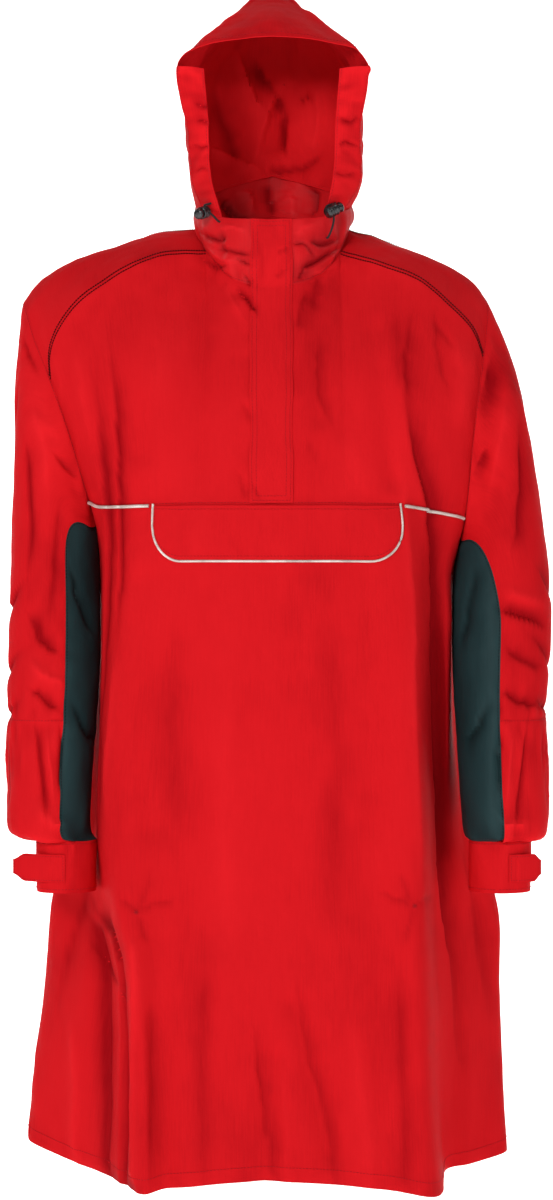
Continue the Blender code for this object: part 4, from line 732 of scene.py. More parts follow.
def grid_normals(grid: Array, closed: bool = False) -> Array:
    """Unit normals of a grid: the cross product of its central differences.

    Args:
        grid: rows and columns of points.
        closed: whether the last column is followed by the first.

    Returns:
        A normal for each point.
    """
    wide = np.concatenate([grid[:, -1:], grid, grid[:, :1]], axis=1) if closed else grid
    normal = unit(np.cross(np.gradient(wide, axis=0), np.gradient(wide, axis=1)))
    return normal[:, 1:-1] if closed else normal


def hashed(cells: Array, seed: int) -> Array:
    """A number from -1 to 1 for each whole-number cell, the same on every run."""
    mixed = seed * 374761393
    for axis, prime in enumerate((73856093, 19349663, 83492791)[:cells.shape[-1]]):
        mixed = mixed ^ (cells[..., axis].astype(np.int64) * prime)
    mixed = (mixed ^ (mixed >> 13)) * 1274126177 & 0x7FFFFFFF
    mixed = (mixed ^ (mixed >> 16)) * 668265263 & 0x7FFFFFFF
    return (mixed ^ (mixed >> 15)) % 65536 / 32768.0 - 1.0


def noise(points: Array, seed: int) -> Array:
    """Smooth noise: cell values eased between the corners of each unit cell.

    Args:
        points: places, in cells, with one to three coordinates.
        seed: picks the pattern.

    Returns:
        Values from -1 to 1.
    """
    base = np.floor(points)
    ease = smooth_step(points - base)
    total = np.zeros(points.shape[:-1])
    for corner in np.ndindex(*(2,) * points.shape[-1]):
        weight = np.prod(np.where(corner, ease, 1 - ease), axis=-1)
        total += weight * hashed(base + corner, seed)
    return total


@dataclass
class Skirt:
    """The poncho below the chest seam, as one closed run of sections."""

    depth: tuple = DEPTH
    sides: dict = field(default_factory=lambda: SKIRT)

    def controls(self, t: Array) -> tuple[Array, Array]:
        """Control points of the sections at the shares t.

        Args:
            t: shares of the way from the chest seam to the hem.

        Returns:
            Knots u from -1 to 1 and beyond, and x, y for each t and knot.
        """
        shares = [row[0] for row in self.depth]
        depth = smooth_curve(shares, [row[1:] for row in self.depth], t)
        sides = {side: smooth_curve(shares, self.sides[side], t).reshape(len(t), 6, 2)
                 for side in Side}
        front = np.stack([np.zeros(len(t)), depth[:, 0]], axis=-1)[:, None]
        back = np.stack([np.zeros(len(t)), depth[:, 1]], axis=-1)[:, None]
        ring = np.concatenate([back, sides[LEFT][:, ::-1] * (-1, 1), front, sides[RIGHT], back],
                              axis=1)
        ring = np.concatenate([ring[:, -2:-1], ring, ring[:, 1:2]], axis=1)
        knots = np.array([U_HIP - 2, -1, *[-u for u in U_KNOTS[::-1]], 0, *U_KNOTS, 1, 2 - U_HIP])
        return knots, ring

    def heights(self, u: Array) -> Array:
        """Heights of the chest seam and of the hem at the places u round the skirt."""
        knots = [-1, *[-k for k in U_KNOTS[::-1]], 0, *U_KNOTS, 1]
        return smooth_curve(knots, [*HEIGHTS[LEFT][::-1], *HEIGHTS[RIGHT][1:]], u)

    def surface(self, t: Array, u: Array) -> Array:
        """Points at the shares t down and u round: a smooth section at a straight height."""
        t = np.asarray(t, float)
        knots, ring = self.controls(t)
        xy = smooth_curve(knots, ring, u)
        top, hem = self.heights(u).T
        z = top[None] + (hem - top)[None] * t[:, None]
        return np.concatenate([xy, z[..., None]], axis=-1)

    def below_seam(self, x: Array, drop: Array) -> tuple[Array, Array]:
        """Points of the front `drop` below the chest seam, and their normals.

        Args:
            x: places across the front.
            drop: distances below the seam, rows by places.

        Returns:
            Points and unit normals, rows by places.
        """
        u = np.linspace(-U_VALLEY, U_VALLEY, 241)
        place = np.interp(x, self.surface([0.0], u)[0, :, 0], u)
        top, hem = self.heights(place).T
        lattice = np.linspace(0, 0.12, 49)
        points = self.surface(lattice, place)
        normals = grid_normals(points)
        normals[normals[..., 1] > 0] *= -1
        row = np.clip(drop / (top - hem) / lattice[1], 0, len(lattice) - 1.001)
        low = row.astype(int)
        part = (row - low)[..., None]
        column = np.arange(len(place))[None]
        read = [(1 - part) * values[low, column] + part * values[low + 1, column]
                for values in (points, normals)]
        return push_folds(read[0]), unit(read[1])


def push_folds(points: Array) -> Array:
    """Move points of the body out or in near each large fold.

    Each fold is a run in x, z. The push dies away as exp(-(distance / width) squared).
    """
    moved = points.copy()
    for side, x0, z0, x1, z1, width, push in FOLDS:
        start, run = np.array([x0, z0]), np.array([x1 - x0, z1 - z0])
        flat = points[..., [0, 2]] - start
        share = np.clip((flat @ run) / (run @ run), 0, 1)
        away = np.linalg.norm(flat - share[..., None] * run, axis=-1)
        weight = np.exp(-(away / width) ** 2) * smooth_step(points[..., 1] * side / 0.06)
        moved[..., 1] += side * push * weight
    return moved


@dataclass
class Trunk:
    """Everything between the chest seam and the collar's top."""

    skirt: Skirt
    chest_bulge: float = CHEST_BULGE
    back_bulge: float = BACK_BULGE
    collar_rows: int = 37

    def armhole(self, side: Side, v: Array) -> Array:
        """Points of an armhole at the turns v."""
        table = np.array(ARMHOLE[side], float)
        return mirrored(smooth_curve(table[:, 0], table[:, 1:], v), side)

    def neck_ring(self, ring: dict[str, float], heights: tuple, phi: Array) -> Array:
        """Points of a ring round the neck at the turns phi, negative to the left."""
        phi = np.asarray(phi, float)
        turn = np.radians(phi)
        width = np.where(phi > 0, ring["half_width"] * RIGHT_NECK_SCALE, ring["half_width"])
        reach = np.where(np.cos(turn) > 0, ring["front"], ring["back"])
        knots, z = zip(*heights)
        height = smooth_curve(knots, [(value,) for value in z], np.abs(phi))[..., 0]
        return np.stack([width * np.sin(turn), -reach * np.cos(turn), height], axis=-1)

    def neckline(self, phi: Array) -> Array:
        """The seam between the body and the collar."""
        return self.neck_ring(NECKLINE, NECKLINE_Z, phi)

    def collar_top(self, phi: Array) -> Array:
        """The collar's upper edge, where the hood is sewn on behind."""
        return self.neck_ring(COLLAR_TOP, COLLAR_TOP_Z, phi)

    def collar_edge(self, phi: Array) -> Array:
        """Points on the straight runs between the collar's top samples."""
        samples = self.neck_turns()
        points = self.collar_top(np.where(samples > 180, samples - 360, samples))
        turned = np.where(np.asarray(phi, float) < 0, np.asarray(phi, float) + 360, phi)
        return np.stack([np.interp(turned, samples, points[:, axis]) for axis in range(3)],
                        axis=-1)

    def neck_turns(self) -> Array:
        """Turns of the collar's columns, from one side of the zip round to the other."""
        first = math.degrees(math.asin(ZIP_HALF / NECKLINE["half_width"]))
        half = np.concatenate([np.linspace(first, PHI_YOKE_FRONT, NECK_FRONT + 1)[:-1],
                               np.linspace(PHI_YOKE_FRONT, PHI_YOKE_BACK, YOKE_WIDE + 1)[:-1]])
        back = np.linspace(PHI_YOKE_BACK, 360 - PHI_YOKE_BACK, NECK_BACK + 1)
        return np.concatenate([half, back, 360 - half[::-1]])

    def arm_samples(self, side: Side) -> dict[str, Array]:
        """The armhole's sample turns, for each piece that ends on it."""
        return {"low": ARM_LOW,
                "chest": np.linspace(V_CHEST, V_YOKE_FRONT[side], CHEST_HIGH + 1),
                "yoke": np.linspace(V_YOKE_FRONT[side], V_YOKE_BACK, YOKE_WIDE + 1),
                "back": ARM_BACK}

    def yoke_seam(self, side: Side, table: dict, phi: float, v: float) -> Array:
        """Samples along a yoke seam from the neck to the armhole."""
        return seam_curve(self.neckline([side * phi])[0], mirrored(table[side], side),
                          self.armhole(side, [v])[0], YOKE_LONG + 1)

    def front_seam(self, side: Side) -> Array:
        """The seam between chest and yoke."""
        return self.yoke_seam(side, YOKE_FRONT_SEAM, PHI_YOKE_FRONT, V_YOKE_FRONT[side])

    def back_seam(self, side: Side) -> Array:
        """The seam between yoke and back."""
        return self.yoke_seam(side, YOKE_BACK_SEAM, PHI_YOKE_BACK, V_YOKE_BACK)

    def chest(self, side: Side) -> Array:
        """Chest panel: rows from the chest seam up, columns from the zip to the armhole."""
        bottom = self.skirt.surface([0.0], side * U_CHEST)[0]
        bottom[-1] = self.armhole(side, [V_CHEST])[0]
        first = math.degrees(math.asin(ZIP_HALF / NECKLINE["half_width"]))
        neck = self.neckline(side * np.linspace(first, PHI_YOKE_FRONT, NECK_FRONT + 1))
        top = np.vstack([neck[:-1], self.front_seam(side)])
        middle = np.array([(side * ZIP_HALF, y, z) for y, z in CENTRE_FRONT])
        start = seam_curve(bottom[0], middle, top[0], CHEST_HIGH + 1)
        grid = patch(bottom, top, start, self.armhole(side, self.arm_samples(side)["chest"]))
        rows, columns = (np.sin(np.pi * np.linspace(0, 1, count)) ** 2
                         for count in grid.shape[:2])
        grid[..., 1] -= self.chest_bulge * rows[:, None] * columns[None]
        return push_folds(grid)

    def yoke(self, side: Side) -> Array:
        """Yoke: rows over the shoulder from the front seam, columns from the neck out."""
        neck = self.neckline(side * np.linspace(PHI_YOKE_FRONT, PHI_YOKE_BACK, YOKE_WIDE + 1))
        arm = self.armhole(side, self.arm_samples(side)["yoke"])
        return push_folds(patch(self.front_seam(side), self.back_seam(side), neck, arm,
                                fade=YOKE_FADE))

    def lower_front(self) -> Array:
        """Lower front: rows from the chest seam down, columns from left to right."""
        half = np.concatenate([U_CHEST, U_LOW[1:]])
        grid = self.skirt.surface(SKIRT_ROWS, np.concatenate([-half[::-1], [0.0], half]))
        low = len(ARM_LOW)
        grid[0, :low] = self.armhole(LEFT, ARM_LOW)
        grid[0, -low:] = self.armhole(RIGHT, ARM_LOW)[::-1]
        return push_folds(grid)

    def back(self) -> Array:
        """Back: rows from the hem up to the yoke seams and neckline, columns right to left."""
        right = np.linspace(U_SIDE, 1 - NECK_SHARE, YOKE_LONG + 1)
        middle = np.linspace(1 - NECK_SHARE, 1 + NECK_SHARE, NECK_BACK + 1)
        u = np.concatenate([right[:-1], middle, 2 - right[::-1][1:]])
        lower = self.skirt.surface(SKIRT_ROWS[::-1], np.where(u > 1, u - 2, u))
        phi = np.linspace(PHI_YOKE_BACK, 360 - PHI_YOKE_BACK, NECK_BACK + 1)
        neck = self.neckline(np.where(phi > 180, phi - 360, phi))
        top = np.vstack([self.back_seam(RIGHT)[::-1][:-1], neck, self.back_seam(LEFT)[1:]])
        arms = [self.armhole(side, ARM_BACK[::-1]) for side in (RIGHT, LEFT)]
        upper = patch(lower[-1], top, *arms, fade=BACK_FADE)
        level = np.polyval(np.polyfit(top[:, 0], top[:, 1], 2), top[:, 0])
        along = np.linspace(0, 1, len(top))
        stray = (top[:, 1] - level) * smooth_step(np.minimum(along, 1 - along) / 0.2)
        rise = arc_share(*arms)[:, None]
        upper[..., 1] += stray[None] * (rise ** NECK_FADE - rise)
        blades = 6.75 * rise ** 2 * (1 - rise) * np.sin(np.pi * along)[None]
        upper[..., 1] += self.back_bulge * blades
        return push_folds(np.vstack([lower, upper[1:]]))

    def collar(self) -> Array:
        """Collar: rows from the neckline up, columns round the neck from right to left."""
        phi = self.neck_turns()
        signed = np.where(phi > 180, phi - 360, phi)
        share = np.linspace(0, 1, self.collar_rows)[:, None, None]
        grid = (1 - share) * self.neckline(signed) + share * self.collar_top(signed)
        turn = np.radians(signed)
        out = np.stack([np.sin(turn), -np.cos(turn), 0 * turn], axis=-1)
        return push_folds(grid + COLLAR_BELLY * np.sin(np.pi * share) * out)


@dataclass
class Sleeve:
    """One sleeve, with its dark panel, cuff and tab."""

    side: Side
    trunk: Trunk
    tab_columns: int = 41
    tab_rows: int = 17

    def ring(self, z: Array, v: Array) -> Array:
        """Points at the heights z and turns v: an ellipse of the sleeve's sizes there."""
        table = np.array(SLEEVE[self.side], float)
        sizes = smooth_curve(table[:, 0], table[:, 1:], np.clip(-z, table[0, 0], table[-1, 0]))
        outer, inner, mid_y, half_depth = np.moveaxis(sizes, -1, 0)
        turn = np.radians(v)
        x = (outer + inner) / 2 + (outer - inner) / 2 * np.cos(turn)
        return mirrored(np.stack([x, mid_y - half_depth * np.sin(turn), z], axis=-1), self.side)

    def cuff_ring(self, z: Array, v: Array, grow: float = 0.0) -> Array:
        """Points of the cuff at the heights z and turns v, its radii grown by `grow`."""
        turn = np.radians(v)
        middle, half_width = CUFF[self.side]
        x = middle + (half_width + grow) * np.cos(turn)
        y = CUFF_MID_Y - (CUFF_HALF_DEPTH + grow) * np.sin(turn)
        return mirrored(np.stack([x, y, z + 0 * x], axis=-1), self.side)

    def turns(self, s: Array, dark: bool) -> Array:
        """Turns of the columns at the shares s, of the red panel or of the dark one."""
        sample = self.trunk.arm_samples(self.side)
        low, back = sample["low"], sample["back"]
        if dark:
            loop = refined([-163.0, -170, -175, -180, -185, -190, -195], [5] * 6)
            wide = np.linspace(V_UNDER_BACK, V_UNDER[self.side] - 360, len(loop))
        else:
            first, last = np.flatnonzero(low == 165)[0], np.flatnonzero(back == -163)[0]
            loop = np.concatenate([low[first:-1], sample["chest"][:-1], sample["yoke"][:-1],
                                   back[:last + 1]])
            wide = np.linspace(V_UNDER[self.side], V_UNDER_BACK, len(loop))
        share = smooth_step(s / UNDER_OPENS[self.side])[:, None]
        return (1 - share) * loop + share * wide

    def rows(self, s: Array, dark: bool) -> Array:
        """A panel: rows down the sleeve at the shares s, columns round it.

        Each column is one smooth curve from the armhole through the rings to the cuff.
        """
        knots = [0.0, *[ring[0] for ring in SLEEVE_RINGS], 1.0]
        v = self.turns(s, dark)
        wrapped = np.where(v < -180, v + 360, v)
        hanging = np.where(wrapped > 0, smooth_step((wrapped - 138) / 22),
                           smooth_step((-wrapped - 75) / 35))
        edge = self.trunk.armhole(self.side, wrapped)
        edge[..., 0] += self.side * UNDERARM_GAP * hanging
        rings = [edge]
        for _, height, raised in SLEEVE_RINGS:
            rings.append(self.ring(height + raised * np.cos(np.radians(v)), v))
        rings.append(self.cuff_ring(CUFF_TOP_Z, v))
        weights = smooth_curve(knots, np.eye(len(knots)), s)
        return np.einsum("rk,krcd->rcd", weights, np.array(rings))

    def upper(self) -> Array:
        """Red panel from armhole to elbow."""
        return self.rows(np.linspace(0, ELBOW_S, SLEEVE_UPPER_ROWS), False)

    def lower(self) -> Array:
        """Red panel from elbow to cuff."""
        return self.rows(np.linspace(ELBOW_S, 1, SLEEVE_LOWER_ROWS), False)

    def under(self) -> Array:
        """Dark panel under the arm."""
        shares = np.concatenate([np.linspace(0, ELBOW_S, SLEEVE_UPPER_ROWS),
                                 np.linspace(ELBOW_S, 1, SLEEVE_LOWER_ROWS)[1:]])
        return self.rows(shares, True)

    def cuff(self) -> Array:
        """Closed band that takes up the sleeve's columns."""
        s = np.array([1.0])
        v = np.concatenate([self.turns(s, False)[0], self.turns(s, True)[0, 1:-1]])
        z = np.linspace(CUFF_TOP_Z, CUFF_BOTTOM_Z, 17)[:, None]
        return self.cuff_ring(z, v[None] + 0 * z)

    def tab(self) -> Array:
        """Tab: lies on the cuff from its front to the outer edge, then stands off straight."""
        flat = self.tab_columns // 2
        turns = np.linspace(TAB_START_V[self.side], TAB_LEAVE_V, self.tab_columns - flat)
        base = self.cuff_ring(np.zeros(len(turns)), turns, grow=TAB_LAP)
        reach = np.linspace(0, TAB_REACH[self.side], flat + 1)[1:, None]
        path = np.vstack([base, base[-1] + unit(base[-1] - base[-2]) * reach])
        share = run_along(path) / run_along(path)[-1]
        half = TAB_HALF - TAB_TAPER * smooth_step((share - 0.72) / 0.28)
        grid = np.repeat(path[None], self.tab_rows, axis=0)
        middle = (CUFF_TOP_Z + CUFF_BOTTOM_Z) / 2 - 0.001
        grid[..., 2] = middle + np.linspace(1, -1, self.tab_rows)[:, None] * half
        return grid


@dataclass
class Hood:
    """Hood with its middle panel, peak and drawcord channels."""

    trunk: Trunk
    stations: int = 91
    side_rows: int = 73
    middle_rows: int = 51
    allowance: float = 0.0035        # of cloth sewn in below the collar's edge

    def arches(self, side: Side) -> Array:
        """Control points of the half arches, from foot to ridge, for each station."""
        rows = []
        for row in HOOD:
            foot = self.trunk.collar_top([side * row[0]])[0] * (side, 1, 1)
            body = np.array(row[1:13]).reshape(4, 3)
            body[:2, 0] += HOOD_CHEEK[side]
            rows.append(np.vstack([foot[None], body, [(0, row[13], row[14])]]))
        rows.append(self.trunk.collar_top(side * np.array(NAPE_PHI, float)) * (side, 1, 1))
        return mirrored(rows, side)

    def surface(self, s: Array, w: Array) -> Array:
        """Points from the face edge (s 0) to the nape (1), from the left foot (w -1) over."""
        left, right = self.arches(LEFT), self.arches(RIGHT)
        rings = np.concatenate([left, right[:, ::-1][:, 1:]], axis=1)
        knots = np.concatenate([-np.array(HOOD_KNOTS), np.array(HOOD_KNOTS[::-1])[1:]])
        flat = smooth_curve(HOOD_STATIONS, rings.reshape(len(HOOD_STATIONS), -1), s)
        grid = smooth_curve(knots, flat.reshape(len(s), rings.shape[1], 3), w)
        turns = np.array([360.0 - phi for phi in NAPE_PHI[:-1]] + [180.0]
                         + [*NAPE_PHI[:-1]][::-1])
        edge = self.trunk.collar_edge
        grid[np.isclose(s, 1.0)] = edge(np.interp(w, knots, turns))
        foot = np.interp(s, HOOD_STATIONS, [*[row[0] for row in HOOD], NAPE_PHI[0]])
        grid[:, np.isclose(w, -1)] = edge(-foot)[:, None]
        grid[:, np.isclose(w, 1)] = edge(foot)[:, None]
        sewn = np.isclose(s, 1.0)[:, None] | np.isclose(np.abs(w), 1.0)[None]
        inward = unit(grid * (1, 1, 0)) * HOOD_SEWN_IN
        return np.where(sewn[..., None], grid - inward - (0, 0, self.allowance), grid)

    def depth_shares(self) -> Array:
        """Shares s of the rows, with the crown seam among them."""
        shares = np.linspace(0, 1, self.stations)
        shares[np.argmin(np.abs(shares - CROWN_S))] = CROWN_S
        return shares

    def side_panel(self, side: Side) -> Array:
        """Side panel from foot to corner."""
        return self.surface(self.depth_shares(),
                            np.sort(side * np.linspace(CORNER, 1, self.side_rows)))

    def middle_panel(self, front: bool) -> Array:
        """The peak over the face, or the middle panel down the back."""
        shares = self.depth_shares()
        crown = int(np.argmin(np.abs(shares - CROWN_S)))
        part = shares[:crown + 1] if front else shares[crown:]
        return self.surface(part, np.linspace(-CORNER, CORNER, self.middle_rows))

    def channel(self, side: Side, columns: int = 13) -> Array:
        """Drawcord channel: a strip turned in from the face edge."""
        w = np.sort(side * np.linspace(1, CORNER, self.side_rows))
        outer = self.surface(np.array([0.0]), w)[0]
        outer = outer[::-1] if side == RIGHT else outer
        foot = self.trunk.collar_edge([side * CHANNEL_FOOT_PHI])[0]
        edge = mirrored(CHANNEL_EDGE, side)
        inner = seam_curve(foot, edge[:-1], edge[-1], self.side_rows)
        across = np.linspace(0, 1, columns)[None, :, None]
        grid = (1 - across) * outer[:, None] + across * inner[:, None]
        grid[..., 1] -= CHANNEL_BOW * np.sin(np.pi * across[..., 0])
        grid[0] = self.trunk.collar_edge(side * np.linspace(HOOD[0][0], CHANNEL_FOOT_PHI, columns))
        grid[0] += CHANNEL_SEWN_IN
        return grid


@dataclass
class Cloth:
    """One cut piece: a grid of points in the middle of its wall, with its normals."""

    grid: Array
    core: Array
    zone: str = "body"
    closed: bool = False
    dark: bool = False
    puckers: tuple = ()
    normals: Array = field(init=False)
    shift: Array = field(init=False)

    def __post_init__(self) -> None:
        """Work out the outward normals."""
        self.normals = grid_normals(self.grid, self.closed)
        if np.sum(self.normals * (self.grid - self.core)) < 0:
            self.normals = -self.normals
        self.shift = np.zeros(self.grid.shape[:2])

    def away_from(self, edge: Edge) -> Array:
        """Distance of each grid point from an edge, along its row or column."""
        if edge in (Edge.TOP, Edge.BOTTOM):
            turned = self.grid if edge is Edge.TOP else self.grid[::-1]
            away = run_along(turned)
            return away if edge is Edge.TOP else away[::-1]
        turned = np.swapaxes(self.grid, 0, 1)
        turned = turned if edge is Edge.START else turned[::-1]
        away = run_along(turned)
        return np.swapaxes(away if edge is Edge.START else away[::-1], 0, 1)

    def along(self, edge: Edge) -> Array:
        """Distance along an edge, for each column or row, ready to combine with the grid."""
        line = {Edge.TOP: self.grid[0], Edge.BOTTOM: self.grid[-1],
                Edge.START: self.grid[:, 0], Edge.END: self.grid[:, -1]}[edge]
        run = run_along(line)
        return run[None] if edge in (Edge.TOP, Edge.BOTTOM) else run[:, None]

    def pucker(self, edge: Edge, height: float, pitch: float, reach: float, seed: int) -> None:
        """Gather the cloth along an edge.

        The push is height times noise along the edge, times d e^(1 - d) with d the distance
        from the edge over `reach`, so the seam's own points stay.

        Args:
            edge: where.
            height: greatest push, in millimetres.
            pitch: spacing of the gathers, in millimetres.
            reach: distance from the seam where they are highest, in millimetres.
            seed: picks the pattern.
        """
        away = self.away_from(edge) / (reach * MM)
        run = self.along(edge) / (pitch * MM)
        place = np.stack([run + 0 * away, 0.35 * away + 0 * run], axis=-1)
        self.shift += height * MM * noise(place, seed) * away * np.exp(1 - away)

    def drop_seam(self, edge: Edge, depth: float = 0.45, width: float = 2.6) -> None:
        """Draw the cloth in by depth times exp(-distance / width) along a sewn edge."""
        self.shift -= depth * MM * np.exp(-self.away_from(edge) / (width * MM))

    def beside(self, edge: Edge, away: float) -> tuple[Array, Array]:
        """Line at a distance from an edge, on the finished cloth.

        Args:
            edge: the edge that it follows.
            away: distance from it, in metres.

        Returns:
            Points and normals along the line.
        """
        grid, normals = self.worn(), self.normals
        if edge in (Edge.START, Edge.END):
            grid, normals = np.swapaxes(grid, 0, 1), np.swapaxes(normals, 0, 1)
        if edge in (Edge.BOTTOM, Edge.END):
            grid, normals = grid[::-1], normals[::-1]
        run = run_along(grid)
        row = np.clip(np.sum(run <= away, axis=0) - 1, 0, len(run) - 2)
        column = np.arange(grid.shape[1])
        gap = run[row + 1, column] - run[row, column]
        part = np.clip((away - run[row, column]) / np.maximum(gap, 1e-9), 0, 1)[:, None]
        points, lifts = ((1 - part) * values[row, column] + part * values[row + 1, column]
                         for values in (grid, normals))
        return points, unit(lifts)

    def worn(self) -> Array:
        """The grid with the creases' push along its normals."""
        return self.grid + self.normals * self.shift[..., None]

    def flat_places(self) -> Array:
        """Places on the flat cloth, in metres, from the mean run of rows and columns."""
        down = run_along(self.grid).mean(axis=1)
        across = run_along(np.swapaxes(self.grid, 0, 1)).mean(axis=1)
        return np.stack(np.broadcast_arrays(across[None], -down[:, None]), axis=-1)


def share_normals(pieces: list[Cloth]) -> None:
    """Average the normals of pieces at the seam points that they share.

    Where two pieces hang back to back from their seam, as under the arm, each keeps its own.
    """
    points = np.concatenate([piece.grid.reshape(-1, 3) for piece in pieces])
    normals = np.concatenate([piece.normals.reshape(-1, 3) for piece in pieces])
    keys = np.round(points / 1e-4).astype(np.int64)
    _, group = np.unique(keys, axis=0, return_inverse=True)
    group = group.ravel()
    total = np.zeros((group.max() + 1, 3))
    np.add.at(total, group, normals)
    mean = total[group] / np.bincount(group)[group][:, None]
    length = np.linalg.norm(mean, axis=1, keepdims=True)
    shared = np.where(length > BACK_TO_BACK, mean / np.maximum(length, 1e-12), normals)
    start = 0
    for piece in pieces:
        size = piece.normals[..., 0].size
        piece.normals = shared[start:start + size].reshape(piece.grid.shape)
        start += size


@dataclass
class Creases:
    """Lays every listed crease and the cloth's small unevenness on the pieces."""

    pieces: list[Cloth]
    trunk: Trunk
    steps: int = 5

    def __post_init__(self) -> None:
        """Gather the points that the creases are laid on, and lay them."""
        self.points = {zone: np.concatenate([p.grid.reshape(-1, 3) for p in self.pieces
                                             if p.zone == zone])
                       for zone in {p.zone for p in self.pieces}}
        self.normals = {zone: np.concatenate([p.normals.reshape(-1, 3) for p in self.pieces
                                              if p.zone == zone])
                        for zone in self.points}
        self.courses = [(crease, self.laid(crease)) for crease in CREASES]

    def seen_from(self, view: View, points: Array, normals: Array) -> tuple[Array, Array, Array]:
        """Flat places of points in a view, whether they face it, and how near they are."""
        if view in (View.PICTURE, View.INSIDE):
            ray = points - np.array(CAMERA)
            scale = PICTURE_POINT * ray[:, 1] / CAMERA_DISTANCE
            flat = np.stack([PICTURE_MIDDLE[0] + ray[:, 0] / scale,
                             PICTURE_MIDDLE[1] - ray[:, 2] / scale], axis=-1)
            facing = np.sum(normals * ray, axis=-1) * (-1 if view is View.PICTURE else 1)
            return flat, facing, ray[:, 1]
        if view is View.BEHIND:
            return points[:, [0, 2]] / MM, normals[:, 1], -points[:, 1]
        sign = -1 if view is View.LEFT_SIDE else 1
        return points[:, [1, 2]] / MM, sign * normals[:, 0], -sign * points[:, 0]

    def laid(self, crease: Crease) -> Array:
        """Lay a crease's course on the cloth: each place goes to the nearest point seen."""
        points, normals = self.points[crease.zone], self.normals[crease.zone]
        flat, facing, depth = self.seen_from(crease.view, points, normals)
        course = np.array(crease.course, float).reshape(-1, 2)
        fine = np.linspace(0, len(course) - 1, (len(course) - 1) * self.steps + 1)
        course = smooth_curve(np.arange(len(course)), course, fine)
        gap = np.linalg.norm(flat[None] - course[:, None], axis=-1)
        cost = gap + np.where(facing > 0.05, 0, 1e3) + 40 * (depth - depth.min())
        return points[np.argmin(cost, axis=1)]

    def push(self, points: Array, normals: Array, zone: str) -> Array:
        """How far out the creases push points of a zone.

        A crease's push is its depth times exp(-(root(d d + r r) - r) / width), d the distance
        from its course and r the round of its crest, and tapers to nothing at both ends.

        Args:
            points: places on the cloth.
            normals: outward directions there.
            zone: which part of the poncho they are on.

        Returns:
            The push of each point, in metres.
        """
        total = np.zeros(points.shape[:-1])
        for crease, course in self.courses:
            if crease.zone != zone:
                continue
            width = crease.width * MM
            reach = 5 * width
            near = np.all((points > course.min(axis=0) - reach)
                          & (points < course.max(axis=0) + reach), axis=-1)
            if not near.any():
                continue
            total[near] += crease.push * MM * self.profile(points[near], normals[near], course,
                                                           width, crease.lean)
        return total

    def profile(self, points: Array, normals: Array, course: Array, width: float,
                lean: float) -> Array:
        """The crease's shape, 1 on its course, at each of the points."""
        start, step = course[:-1], np.diff(course, axis=0)
        square = np.maximum(np.sum(step * step, axis=1), 1e-12)
        offset = points[:, None] - start[None]
        share = np.clip(np.sum(offset * step, axis=-1) / square, 0, 1)
        foot = offset - share[..., None] * step
        away = np.linalg.norm(foot, axis=-1)
        best = np.argmin(away, axis=1)
        index = np.arange(len(points))
        away, part = away[index, best], (best + share[index, best]) / len(step)
        across = np.sum(np.cross(step[best], foot[index, best]) * normals, axis=-1)
        flank = width * (1 + 1.6 * lean * np.sign(across) * smooth_step(away / width))
        rounded = 0.30 * flank
        shape = np.exp(-(np.sqrt(away**2 + rounded**2) - rounded) / flank)
        taper = smooth_step(part / 0.3) * smooth_step((1 - part) / 0.3)
        return shape * (0.12 + 0.88 * taper)

    def unevenness(self, points: Array, zone: str) -> Array:
        """Small ripples all over: noise stretched down the cloth, finer at neck and sleeves."""
        neck = smooth_step((points[..., 2] + 0.10) / 0.06)
        if zone != "body":
            wide, fine = 1.7, 0.55
        else:
            wide, fine = 1.1 + 0.5 * neck, 0.28 + 0.35 * neck
        long = noise(points / (0.045, 0.060, 0.150), 11)
        middle = noise(points / (0.024, 0.030, 0.055) + 7.3, 23)
        small = noise(points / (0.011, 0.012, 0.018) + 3.1, 37)
        return MM * (wide * (0.7 * long + 0.45 * middle) + fine * small)

    def settle(self, points: Array) -> Array:
        """0 on the armhole seams, rising to 1 a little way off."""
        nearest = np.full(points.shape[:-1], 1.0)
        for side in Side:
            seam = self.trunk.armhole(side, np.linspace(-180, 180, 91))
            box = np.all((points > seam.min(axis=0) - 0.03) & (points < seam.max(axis=0) + 0.03),
                         axis=-1)
            gap = np.linalg.norm(points[box][:, None] - seam[None], axis=-1).min(axis=1)
            nearest[box] = np.minimum(nearest[box], smooth_step((gap - 0.001) / 0.018))
        return nearest

    def lift(self, points: Array, normals: Array, zone: str) -> Array:
        """Whole push of points of a zone: creases and unevenness, less at the armholes."""
        flat, flat_normals = points.reshape(-1, 3), normals.reshape(-1, 3)
        value = self.push(flat, flat_normals, zone) + self.unevenness(flat, zone)
        return (value * self.settle(flat)).reshape(points.shape[:-1])

    def lay(self) -> None:
        """Push every piece, then gather and draw in its edges."""
        for number, piece in enumerate(self.pieces):
            piece.shift += self.lift(piece.grid, piece.normals, piece.zone)
            for place, (edge, height, pitch, reach) in enumerate(piece.puckers):
                piece.pucker(edge, height, pitch, reach, 100 + 7 * number + place)
                if height > 0 and pitch < 60:
                    piece.drop_seam(edge)


